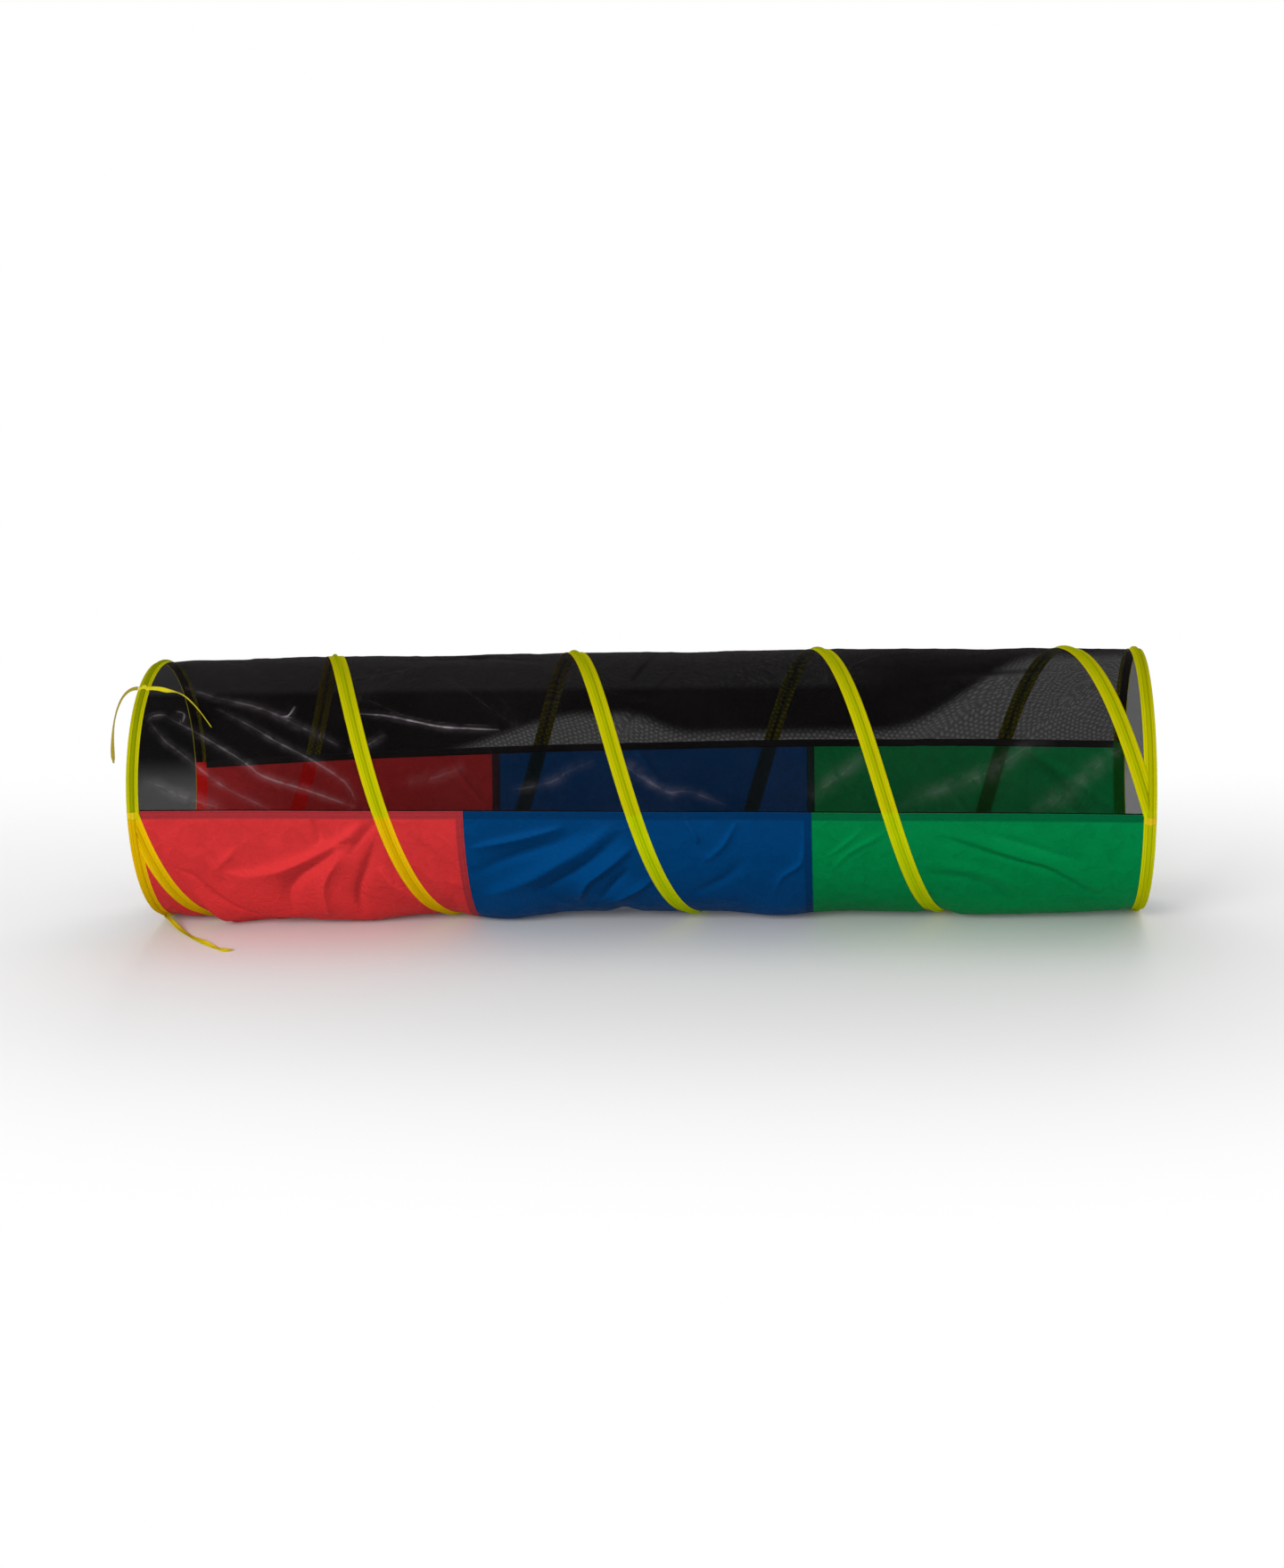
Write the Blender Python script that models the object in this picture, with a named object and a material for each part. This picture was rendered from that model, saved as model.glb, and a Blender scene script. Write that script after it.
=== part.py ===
"""A child's pop-up crawl tunnel, standing open on the floor.

A sprung wire coil, closed into a hoop at each end, is sewn under yellow tape
around a round sleeve of cloth. The lower half of the sleeve is three coloured
panels and the upper half is one black mesh roof. Metres, +Z up, X along the
tunnel, -Y towards the viewer, the floor at zero height.

Angles about the tunnel's axis are counted in degrees as seen from the +X end:
0 is the far side, 90 the top, 180 the near side and 270 the bottom.
"""

import math

import bmesh
import bpy
from mathutils import Matrix, Vector

# Overall sizes
TUNNEL_LENGTH = 1.80
TUNNEL_DIAMETER = 0.48

# The sprung wire and the crimped sleeves that close its end hoops
WIRE_DIAMETER = 0.0025
TURN_COUNT = 4
FERRULE_LENGTH = 0.018
FERRULE_WALL = 0.0004
CRIMP_GAP = 0.0001

# Cloth, tapes and strips
CLOTH_THICKNESS = 0.0006
TAPE_THICKNESS = 0.0008
TAPE_WIDTH = 0.028
BINDING_WIDTH = 0.022
BINDING_FOLD_EASE = 0.0005
CHANNEL_SLOPE_RUN = 0.0025
STRIP_THICKNESS = 0.0005
SEAM_STRIP_OVER_MESH = 0.002
SEAM_STRIP_OVER_PANEL = 0.010
JOINT_STRIP_WIDTH = 0.014
PANEL_COUNT = 3

# The ties, which are flat tapes
TIE_WIDTH = 0.010
TIE_THICKNESS = 0.001
TOP_TIE_FACET = 6
TOP_TIE_SHIFT = 0.007
LOW_TIE_FACET = 7
LOW_TACK_LENGTH = 0.018
LOW_TACK_SHIFT = 0.004

# Clearance between touching pieces
SEAT_GAP = 0.0003

# Facets around the tunnel: an even number that is not a multiple of four puts
# a flat facet at the bottom and a corner on each side seam
STATION_COUNT = 38
WIRE_SIDES = 8
FERRULE_BEND_STEPS = 5
SMOOTH_TURN_SHARE = 1.85
MERGE_DISTANCE = 0.00001

# Worked out from the sizes above
OUTER_RADIUS = TUNNEL_DIAMETER / 2
STATION_ANGLE = 2 * math.pi / STATION_COUNT
HALF_TURN_STATIONS = STATION_COUNT // 2
FACET_SHARE = math.cos(STATION_ANGLE / 2)
AXIS_HEIGHT = OUTER_RADIUS * FACET_SHARE
WIRE_EASE = SEAT_GAP + FERRULE_WALL + CRIMP_GAP
CHANNEL_HEIGHT = WIRE_DIAMETER + 2 * WIRE_EASE
CLOTH_OUTER = OUTER_RADIUS - TAPE_THICKNESS - CHANNEL_HEIGHT
CLOTH_INNER = CLOTH_OUTER - CLOTH_THICKNESS
WIRE_RADIUS = CLOTH_OUTER + CHANNEL_HEIGHT / 2
WIRE_SPACING = WIRE_DIAMETER + SEAT_GAP
CHANNEL_FLAT = WIRE_SPACING + WIRE_DIAMETER + 2 * WIRE_EASE
CHANNEL_SLOPE_ANGLE = math.atan2(CHANNEL_HEIGHT - SEAT_GAP, CHANNEL_SLOPE_RUN)
COIL_PITCH = (TUNNEL_LENGTH - BINDING_WIDTH) / TURN_COUNT
COIL_SLANT = math.atan2(COIL_PITCH, 2 * math.pi * WIRE_RADIUS)
LEFT_END = -TUNNEL_LENGTH / 2
BINDING_MIDDLE = LEFT_END + BINDING_WIDTH / 2
BINDING_EDGE = LEFT_END + BINDING_WIDTH + SEAT_GAP
PANEL_LENGTH = TUNNEL_LENGTH / PANEL_COUNT

# Routes of the ties' free tails, chosen by hand in metres: each point's place
# and the turn of the flat tape about its own route, in degrees
TOP_OUTER_ROUTE = (
    (-0.9003, -0.1062, 0.4502, -28),
    (-0.9080, -0.1066, 0.4495, -27),
    (-0.9160, -0.1074, 0.4462, -24),
    (-0.9235, -0.1086, 0.4402, -20),
    (-0.9302, -0.1100, 0.4318, -16),
    (-0.9358, -0.1116, 0.4214, -12),
    (-0.9406, -0.1132, 0.4096, -9),
    (-0.9444, -0.1146, 0.3966, -6),
    (-0.9474, -0.1158, 0.3830, -4),
    (-0.9496, -0.1168, 0.3690, -2),
    (-0.9512, -0.1176, 0.3548, 0),
    (-0.9522, -0.1182, 0.3406, 4),
    (-0.9526, -0.1186, 0.3270, 8),
    (-0.9524, -0.1188, 0.3150, 12),
)
TOP_ROOF_ROUTE = (
    (-0.8777, -0.1062, 0.4502, 28),
    (-0.8700, -0.1066, 0.4500, 28),
    (-0.8620, -0.1080, 0.4494, 29),
    (-0.8530, -0.1106, 0.4482, 30),
    (-0.8440, -0.1142, 0.4466, 26),
    (-0.8350, -0.1186, 0.4460, 8),
    (-0.8260, -0.1240, 0.4455, -16),
    (-0.8170, -0.1302, 0.4442, -34),
    (-0.8075, -0.1374, 0.4412, -46),
    (-0.7980, -0.1454, 0.4366, -52),
    (-0.7880, -0.1540, 0.4304, -54),
    (-0.7780, -0.1628, 0.4230, -54),
    (-0.7680, -0.1716, 0.4146, -52),
    (-0.7585, -0.1800, 0.4054, -50),
    (-0.7490, -0.1880, 0.3956, -48),
)
LOW_ROUTE = (
    (-0.8850, -0.0868, 0.0152, 0),
    (-0.8849, -0.0905, 0.0164, 0),
    (-0.8834, -0.0945, 0.0170, 0),
    (-0.8804, -0.0988, 0.0168, 0),
    (-0.8756, -0.1044, 0.0158, 0),
    (-0.8690, -0.1130, 0.0138, 2),
    (-0.8627, -0.1209, 0.0114, 4),
    (-0.8565, -0.1282, 0.0090, 4),
    (-0.8499, -0.1360, 0.0068, 2),
    (-0.8429, -0.1441, 0.0050, -4),
    (-0.8355, -0.1523, 0.0036, -9),
    (-0.8264, -0.1629, 0.0028, -12),
    (-0.8169, -0.1742, 0.0024, -8),
    (-0.8074, -0.1851, 0.0024, 2),
    (-0.7969, -0.1967, 0.0030, 14),
    (-0.7865, -0.2084, 0.0036, 20),
    (-0.7766, -0.2185, 0.0034, 16),
    (-0.7668, -0.2282, 0.0026, 6),
    (-0.7582, -0.2364, 0.0020, -6),
    (-0.7497, -0.2443, 0.0020, -6),
    (-0.7415, -0.2510, 0.0026, 12),
    (-0.7344, -0.2538, 0.0028, 16),
    (-0.7279, -0.2509, 0.0020, 6),
    (-0.7206, -0.2475, 0.0014, 0),
)
ROUTE_STEPS = 2


def clear_scene():
    """Removes whatever the scene holds."""
    for item in list(bpy.data.objects):
        bpy.data.objects.remove(item)


def linear(channel):
    """One channel of a screen colour, 0 to 255, as the linear value that a shader takes."""
    share = channel / 255
    if share <= 0.04045:
        return share / 12.92
    return ((share + 0.055) / 1.055) ** 2.4


def make_material(name, screen_colour, roughness, metallic=0.0):
    """A plain Principled material of one colour."""
    material = bpy.data.materials.new(name)
    material.use_nodes = True
    shader = material.node_tree.nodes["Principled BSDF"]
    shader.inputs["Base Color"].default_value = (*map(linear, screen_colour), 1.0)
    shader.inputs["Roughness"].default_value = roughness
    shader.inputs["Metallic"].default_value = metallic
    return material


def add_empty(name, location, turn=0.0):
    """A guide that carries a group of pieces; turn is about +Y, in radians."""
    guide = bpy.data.objects.new(name, None)
    guide.location = location
    guide.rotation_euler = (0, turn, 0)
    bpy.context.scene.collection.objects.link(guide)
    return guide


def add_object(name, mesh, material, parent, smooth=True):
    """Puts a finished mesh into the scene under its guide."""
    piece = bpy.data.objects.new(name, mesh)
    if material is not None and not mesh.materials:
        mesh.materials.append(material)
    if smooth:
        mesh.shade_smooth()
        mesh.set_sharp_from_angle(angle=STATION_ANGLE * SMOOTH_TURN_SHARE)
    piece.parent = parent
    bpy.context.scene.collection.objects.link(piece)
    return piece


def to_mesh(name, shape):
    """Closes a bmesh into a named mesh with its faces pointing out."""
    bmesh.ops.recalc_face_normals(shape, faces=shape.faces)
    mesh = bpy.data.meshes.new(name)
    shape.to_mesh(mesh)
    shape.free()
    return mesh


def around(angle):
    """The turn about the tunnel's axis that carries the near seam to an angle in radians past it."""
    return Matrix.Rotation(angle, 4, "X")


def facet_frame(facet):
    """Turns a shape drawn at the near side to the middle of a facet, counted down from the near seam."""
    return around((facet + 0.5) * STATION_ANGLE)


def outline_edges(shape, outline):
    """A closed loop of edges in the near half plane, from (along, radius) points."""
    corners = [shape.verts.new((along, -radius, 0)) for along, radius in outline]
    return [
        shape.edges.new((corner, following))
        for corner, following in zip(corners, corners[1:] + corners[:1])
    ]


def ring_shape(outline):
    """An outline turned once around the axis."""
    shape = bmesh.new()
    edges = outline_edges(shape, outline)
    bmesh.ops.spin(
        shape,
        geom=shape.verts[:] + edges,
        cent=(0, 0, 0),
        axis=(1, 0, 0),
        angle=2 * math.pi,
        steps=STATION_COUNT,
        use_merge=True,
    )
    return shape


def swept_shape(outline, stations, climb_each=0.0):
    """A closed outline turned from the near seam through some stations, climbing along X at each."""
    shape = bmesh.new()
    face = shape.faces.new([shape.verts.new((along, -radius, 0)) for along, radius in outline])
    bmesh.ops.spin(
        shape,
        geom=[face],
        cent=(0, 0, 0),
        axis=(1, 0, 0),
        dvec=(climb_each, 0, 0),
        angle=stations * STATION_ANGLE,
        steps=stations,
        use_merge=False,
    )
    return shape


def trim(shape, point, outward):
    """Cuts a closed shape with a plane, drops what lies beyond it and closes the cut."""
    cut = bmesh.ops.bisect_plane(
        shape,
        geom=shape.verts[:] + shape.edges[:] + shape.faces[:],
        plane_co=point,
        plane_no=outward,
        clear_outer=True,
    )
    rim = [item for item in cut["geom_cut"] if isinstance(item, bmesh.types.BMEdge)]
    bmesh.ops.holes_fill(shape, edges=rim, sides=0)


def channel_contour(width, lift, stretch=1.0):
    """One side of a tape over its wire channel: (across, height over the cloth) points.

    lift is the height over the channel's inner face, and stretch widens the
    section of a tape that crosses the tunnel at a slant.
    """
    corner = lift * math.tan(CHANNEL_SLOPE_ANGLE / 2)
    flat = CHANNEL_FLAT / 2 + corner
    foot = flat + CHANNEL_SLOPE_RUN
    half = [
        (flat, CHANNEL_HEIGHT + lift),
        (foot, SEAT_GAP + lift),
        (width / 2, SEAT_GAP + lift),
    ]
    left = [(-across * stretch, height) for across, height in reversed(half)]
    return left + [(across * stretch, height) for across, height in half]


def tape_outline(middle, width, lift, thickness, stretch=1.0):
    """The closed section of a tape that lies over the cloth and rises over its wire channel."""
    over = channel_contour(width, lift + thickness, stretch)
    under = channel_contour(width, lift, stretch)
    points = over + list(reversed(under))
    return [(middle + across, CLOTH_OUTER + height) for across, height in points]


def binding_outline():
    """The section of the left end binding: an outer leaf over the wire channel, folded round the
    sleeve's edge into a flat inner leaf."""
    leaf_under = CLOTH_INNER - SEAT_GAP - TAPE_THICKNESS
    leaf_top = CLOTH_OUTER + SEAT_GAP + TAPE_THICKNESS
    inner_edge = LEFT_END + BINDING_WIDTH
    fold = [
        (inner_edge, leaf_under),
        (LEFT_END + BINDING_FOLD_EASE, leaf_under),
        (LEFT_END, leaf_under + BINDING_FOLD_EASE),
        (LEFT_END, leaf_top - BINDING_FOLD_EASE),
        (LEFT_END + BINDING_FOLD_EASE, leaf_top),
    ]
    over = [
        (BINDING_MIDDLE + across, CLOTH_OUTER + height)
        for across, height in channel_contour(BINDING_WIDTH, TAPE_THICKNESS)
    ]
    under = [
        (BINDING_MIDDLE + across, CLOTH_OUTER + height)
        for across, height in reversed(channel_contour(BINDING_WIDTH, 0.0))
    ]
    throat = [
        (LEFT_END + TAPE_THICKNESS, CLOTH_OUTER + SEAT_GAP),
        (LEFT_END + TAPE_THICKNESS, CLOTH_INNER - SEAT_GAP),
        (inner_edge, CLOTH_INNER - SEAT_GAP),
    ]
    return fold + over[1:] + under[:-1] + throat


def circle_outline(along, radius, size):
    """A small circle of points in the near half plane."""
    return [
        (
            along + size * math.cos(2 * math.pi * side / WIRE_SIDES),
            radius + size * math.sin(2 * math.pi * side / WIRE_SIDES),
        )
        for side in range(WIRE_SIDES)
    ]


def station_point(station, along, radius):
    """A point on the axis-centred circle of a radius, at a whole number of stations past the near seam."""
    turned = around(station * STATION_ANGLE) @ Vector((0, -radius, 0))
    return Vector((along, turned.y, turned.z))


def coil_route(last_station):
    """The coil's centre line, from its tail beside the left hoop to a station along the coil.

    The tail lies one wire spacing from the hoop wire, and the coil then climbs
    away from it at a steady pitch. Past the last turn it lies beside the right
    hoop in the same way.
    """
    whole_coil = TURN_COUNT * STATION_COUNT
    lead = WIRE_SPACING / 2
    points = []
    for station in range(-1, last_station + 1):
        climbed = BINDING_MIDDLE + COIL_PITCH * station / STATION_COUNT
        along = min(max(climbed, BINDING_MIDDLE + lead), -BINDING_MIDDLE - lead)
        points.append(station_point(station, along, WIRE_RADIUS))
    if last_station >= whole_coil:
        print(f"coil: {whole_coil} facets, least gap to itself {least_gap(points):.4f} m")
    return points


def least_gap(points):
    """The least clear distance between turns of the coil, measured on its points."""
    gaps = [
        (near - far).length - WIRE_DIAMETER
        for index, near in enumerate(points)
        for far in points[index + HALF_TURN_STATIONS:]
    ]
    return min(gaps)


def tube_mesh(name, points, radius):
    """A round tube with closed ends along straight runs between points."""
    curve = bpy.data.curves.new(name, "CURVE")
    curve.dimensions = "3D"
    curve.bevel_depth = radius
    curve.bevel_resolution = WIRE_SIDES // 2 - 2
    curve.use_fill_caps = True
    spline = curve.splines.new("POLY")
    spline.points.add(len(points) - 1)
    for slot, point in zip(spline.points, points):
        slot.co = (*point, 1.0)
    guide = bpy.data.objects.new(name, curve)
    mesh = bpy.data.meshes.new_from_object(guide)
    bpy.data.objects.remove(guide)
    shape = bmesh.new()
    shape.from_mesh(mesh)
    bpy.data.meshes.remove(mesh)
    bmesh.ops.remove_doubles(shape, verts=shape.verts, dist=MERGE_DISTANCE)
    return to_mesh(name, shape)


def stadium(half_spacing, size):
    """A flat-sided oval round two wires that lie side by side."""
    points = []
    for side, start in ((1, -math.pi / 2), (-1, math.pi / 2)):
        for step in range(FERRULE_BEND_STEPS):
            angle = start + math.pi * step / (FERRULE_BEND_STEPS - 1)
            along = side * half_spacing + size * math.cos(angle)
            points.append((BINDING_MIDDLE + along, WIRE_RADIUS * FACET_SHARE + size * math.sin(angle)))
    return points


def make_ferrule(name):
    """A crimped oval sleeve that holds the hoop wire and the coil's tail together."""
    shape = bmesh.new()
    bore_size = WIRE_DIAMETER / 2 + CRIMP_GAP
    bore = outline_edges(shape, stadium(WIRE_SPACING / 2, bore_size))
    rim = outline_edges(shape, stadium(WIRE_SPACING / 2, bore_size + FERRULE_WALL))
    end_face = bmesh.ops.bridge_loops(shape, edges=bore + rim)["faces"]
    bmesh.ops.translate(shape, verts=shape.verts, vec=(0, 0, -FERRULE_LENGTH / 2))
    grown = bmesh.ops.extrude_face_region(shape, geom=end_face, use_keep_orig=True)["geom"]
    moved = [item for item in grown if isinstance(item, bmesh.types.BMVert)]
    bmesh.ops.translate(shape, verts=moved, vec=(0, 0, FERRULE_LENGTH))
    bmesh.ops.transform(shape, matrix=facet_frame(-1), verts=shape.verts)
    return to_mesh(name, shape)


def make_panel_mesh(name, index):
    """One coloured floor panel: half a turn of cloth under the axis, a third of the tunnel long."""
    start = LEFT_END + PANEL_LENGTH * index + SEAT_GAP / 2
    end = LEFT_END + PANEL_LENGTH * (index + 1) - SEAT_GAP / 2
    if index == 0:
        start = LEFT_END + TAPE_THICKNESS + SEAT_GAP
    if index == PANEL_COUNT - 1:
        end = -LEFT_END - TAPE_THICKNESS - SEAT_GAP
    section = [(start, CLOTH_INNER), (end, CLOTH_INNER), (end, CLOTH_OUTER), (start, CLOTH_OUTER)]
    shape = swept_shape(section, HALF_TURN_STATIONS)
    trim(shape, (0, 0, -SEAT_GAP / 2), (0, 0, 1))
    return to_mesh(name, shape)


def make_roof_mesh(name):
    """The black mesh roof: half a turn over the axis, in one length."""
    start = LEFT_END + TAPE_THICKNESS + SEAT_GAP
    section = [(start, CLOTH_INNER), (-start, CLOTH_INNER), (-start, CLOTH_OUTER), (start, CLOTH_OUTER)]
    shape = swept_shape(section, HALF_TURN_STATIONS)
    bmesh.ops.transform(shape, matrix=around(math.pi), verts=shape.verts)
    trim(shape, (0, 0, SEAT_GAP / 2), (0, 0, -1))
    return to_mesh(name, shape)


def facet_point(radius, past_seam):
    """A point (across, up) on the facets of a circle, by its distance up or down from the near seam."""
    reach = min(abs(past_seam) / radius, STATION_ANGLE)
    fitted = radius * FACET_SHARE / math.cos(STATION_ANGLE / 2 - reach)
    return -fitted * math.cos(reach), math.copysign(fitted * math.sin(reach), past_seam)


def make_seam_strip_mesh(name):
    """The black strip sewn inside over a side seam, drawn for the near side."""
    outer = CLOTH_INNER - SEAT_GAP
    inner = outer - STRIP_THICKNESS
    stops = [-SEAM_STRIP_OVER_PANEL, 0.0, SEAM_STRIP_OVER_MESH]
    section = [(BINDING_EDGE, *facet_point(outer, stop)) for stop in stops]
    section += [(BINDING_EDGE, *facet_point(inner, stop)) for stop in reversed(stops)]
    shape = bmesh.new()
    face = shape.faces.new([shape.verts.new(point) for point in section])
    grown = bmesh.ops.extrude_face_region(shape, geom=[face], use_keep_orig=True)["geom"]
    moved = [item for item in grown if isinstance(item, bmesh.types.BMVert)]
    bmesh.ops.translate(shape, verts=moved, vec=(-2 * BINDING_EDGE, 0, 0))
    return to_mesh(name, shape)


def make_joint_strip_mesh(name, middle):
    """The strip sewn inside over the joint of two panels, running from one side seam to the other."""
    outer = CLOTH_INNER - SEAT_GAP
    inner = outer - STRIP_THICKNESS
    start = middle - JOINT_STRIP_WIDTH / 2
    end = middle + JOINT_STRIP_WIDTH / 2
    section = [(start, inner), (end, inner), (end, outer), (start, outer)]
    shape = swept_shape(section, HALF_TURN_STATIONS)
    trim(shape, (0, 0, -SEAM_STRIP_OVER_PANEL - SEAT_GAP), (0, 0, 1))
    return to_mesh(name, shape)


def make_coil_tape_mesh(name):
    """The tape over the coil: one band of four turns, trimmed where the end bindings take over."""
    stretch = 1 / math.cos(COIL_SLANT)
    section = tape_outline(BINDING_MIDDLE, TAPE_WIDTH, 0.0, TAPE_THICKNESS, stretch)
    shape = swept_shape(section, TURN_COUNT * STATION_COUNT, COIL_PITCH / STATION_COUNT)
    for side in (-1, 1):
        trim(shape, (-side * BINDING_EDGE, 0, 0), (side, 0, 0))
    return to_mesh(name, shape)


def make_top_tack_mesh(name):
    """The middle of the top tie, sewn across the left binding and shaped to its ridge."""
    lift = TAPE_THICKNESS + SEAT_GAP
    shape = bmesh.new()
    section = tape_outline(BINDING_MIDDLE, BINDING_WIDTH, lift, TIE_THICKNESS)
    fit = OUTER_RADIUS * (1 - FACET_SHARE)
    points = [(along, fit - radius, TOP_TIE_SHIFT - TIE_WIDTH / 2) for along, radius in section]
    face = shape.faces.new([shape.verts.new(point) for point in points])
    grown = bmesh.ops.extrude_face_region(shape, geom=[face], use_keep_orig=True)["geom"]
    moved = [item for item in grown if isinstance(item, bmesh.types.BMVert)]
    bmesh.ops.translate(shape, verts=moved, vec=(0, 0, TIE_WIDTH))
    bmesh.ops.transform(shape, matrix=facet_frame(-TOP_TIE_FACET - 1), verts=shape.verts)
    return to_mesh(name, shape)


def make_low_tack_mesh(name):
    """The sewn end of the lower tie, lying flat along the ridge of the left binding."""
    shape = bmesh.new()
    bmesh.ops.create_cube(shape, size=1.0)
    bmesh.ops.scale(shape, vec=(TIE_WIDTH, TIE_THICKNESS, LOW_TACK_LENGTH), verts=shape.verts)
    radius = OUTER_RADIUS * FACET_SHARE + SEAT_GAP + TIE_THICKNESS / 2
    bmesh.ops.translate(shape, verts=shape.verts, vec=(BINDING_MIDDLE + LOW_TACK_SHIFT, -radius, 0))
    bmesh.ops.transform(shape, matrix=facet_frame(LOW_TIE_FACET), verts=shape.verts)
    return to_mesh(name, shape)


def smooth_route(route):
    """Points on a smooth curve through a route's own points, with their turns."""
    padded = [route[0], *route, route[-1]]
    points = []
    for before, start, end, after in zip(padded, padded[1:], padded[2:], padded[3:]):
        for step in range(ROUTE_STEPS):
            share = step / ROUTE_STEPS
            points.append(tuple(
                0.5 * (
                    2 * b
                    + (c - a) * share
                    + (2 * a - 5 * b + 4 * c - d) * share**2
                    + (3 * b - a - 3 * c + d) * share**3
                )
                for a, b, c, d in zip(before, start, end, after)
            ))
    points.append(tuple(float(value) for value in route[-1]))
    return points


def make_tail(name, route, material, parent):
    """A flat tape along a route, its width level at a turn of zero."""
    stops = smooth_route(route)
    places = [Vector(stop[:3]) for stop in stops]
    length = sum((end - start).length for start, end in zip(places, places[1:]))
    print(f"{name}: {length:.3f} m long")
    shape = bmesh.new()
    rails = []
    level = None
    for index, stop in enumerate(stops):
        ahead = places[min(index + 1, len(places) - 1)] - places[max(index - 1, 0)]
        across = Vector((-ahead.y, ahead.x, 0)).normalized()
        level = -across if level is not None and across.dot(level) < 0 else across
        side = Matrix.Rotation(math.radians(stop[3]), 3, ahead) @ level * (TIE_WIDTH / 2)
        rails.append((shape.verts.new(places[index] - side), shape.verts.new(places[index] + side)))
    for (low, high), (next_low, next_high) in zip(rails, rails[1:]):
        shape.faces.new((low, high, next_high, next_low))
    mesh = bpy.data.meshes.new(name)
    shape.to_mesh(mesh)
    shape.free()
    tail = add_object(name, mesh, material, parent)
    solid = tail.modifiers.new("thickness", "SOLIDIFY")
    solid.thickness = TIE_THICKNESS
    solid.offset = 0.0
    return tail


def cut_wire_exit(binding, parent):
    """Cuts the way through a binding where the coil leaves it, with a little room round the wire."""
    exit_stations = math.ceil(STATION_COUNT * (BINDING_WIDTH / 2 + WIRE_DIAMETER) / COIL_PITCH) + 1
    route = coil_route(exit_stations)[1:]
    mesh = tube_mesh(f"{binding.name}_wire_exit", route, WIRE_DIAMETER / 2 + SEAT_GAP)
    cutter = add_object(mesh.name, mesh, None, parent, smooth=False)
    cutter.hide_render = True
    cutter.display_type = "WIRE"
    cut = binding.modifiers.new("wire_exit", "BOOLEAN")
    cut.object = cutter
    cut.operation = "DIFFERENCE"


def make_end(side, parent, yellow, steel, crimp):
    """One end of the tunnel: the hoop wire, the binding folded over it and the crimped sleeve."""
    hoop_middle = BINDING_MIDDLE - WIRE_SPACING / 2
    hoop = ring_shape(circle_outline(hoop_middle, WIRE_RADIUS, WIRE_DIAMETER / 2))
    add_object(f"{side}_hoop_wire", to_mesh(f"{side}_hoop_wire", hoop), steel, parent)
    binding = add_object(
        f"{side}_end_binding",
        to_mesh(f"{side}_end_binding", ring_shape(binding_outline())),
        yellow,
        parent,
    )
    cut_wire_exit(binding, parent)
    add_object(f"{side}_hoop_ferrule", make_ferrule(f"{side}_hoop_ferrule"), crimp, parent)


def make_ties(parent, floor, material):
    """The two ties at the left end: what is sewn to the binding and the loose tails."""
    add_object("top_tie_tack", make_top_tack_mesh("top_tie_tack"), material, parent, smooth=False)
    add_object("low_tie_tack", make_low_tack_mesh("low_tie_tack"), material, parent, smooth=False)
    make_tail("top_tie_outer_tail", TOP_OUTER_ROUTE, material, floor)
    make_tail("top_tie_roof_tail", TOP_ROOF_ROUTE, material, floor)
    make_tail("low_tie_tail", LOW_ROUTE, material, floor)


def main():
    """Builds the tunnel."""
    clear_scene()
    yellow = make_material("yellow_binding_tape", (171, 163, 4), 0.7)
    coil_yellow = make_material("yellow_coil_tape", (171, 163, 4), 0.7)
    tie_yellow = make_material("yellow_tie_tape", (176, 160, 20), 0.7)
    steel = make_material("spring_steel_wire", (120, 122, 124), 0.35, 1.0)
    crimp = make_material("crimped_steel", (150, 150, 152), 0.45, 1.0)
    mesh_black = make_material("black_mesh", (22, 21, 22), 0.6)
    strip_black = make_material("black_seam_strip", (16, 17, 17), 0.75)
    panel_finishes = (
        ("red_floor_panel", make_material("red_cloth", (194, 47, 50), 0.55)),
        ("blue_floor_panel", make_material("blue_cloth", (1, 58, 104), 0.55)),
        ("green_floor_panel", make_material("green_cloth", (1, 114, 62), 0.55)),
    )

    axis = add_empty("tunnel_axis", (0, 0, AXIS_HEIGHT))
    floor = add_empty("floor_datum", (0, 0, 0))
    left_end = add_empty("left_end_carrier", (0, 0, AXIS_HEIGHT))
    right_end = add_empty("right_end_carrier", (0, 0, AXIS_HEIGHT), math.pi)

    make_end("left", left_end, yellow, steel, crimp)
    make_end("right", right_end, yellow, steel, crimp)

    whole_coil = TURN_COUNT * STATION_COUNT
    wire = tube_mesh("coil_wire", coil_route(whole_coil + 1), WIRE_DIAMETER / 2)
    add_object("coil_wire", wire, steel, axis)
    add_object("coil_tape", make_coil_tape_mesh("coil_tape"), coil_yellow, axis)

    for index, (name, cloth) in enumerate(panel_finishes):
        add_object(name, make_panel_mesh(name, index), cloth, axis)
    add_object("mesh_roof", make_roof_mesh("mesh_roof"), mesh_black, axis)

    near_strip = make_seam_strip_mesh("near_seam_strip")
    add_object("near_seam_strip", near_strip, strip_black, axis, smooth=False)
    far_strip = make_seam_strip_mesh("far_seam_strip")
    far_strip.transform(Matrix.Rotation(math.pi, 4, "Z"))
    add_object("far_seam_strip", far_strip, strip_black, axis, smooth=False)
    for name, share in (("red_blue_joint_strip", -0.5), ("blue_green_joint_strip", 0.5)):
        mesh = make_joint_strip_mesh(name, PANEL_LENGTH * share)
        add_object(name, mesh, strip_black, axis)

    make_ties(left_end, floor, tie_yellow)


main()
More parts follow.
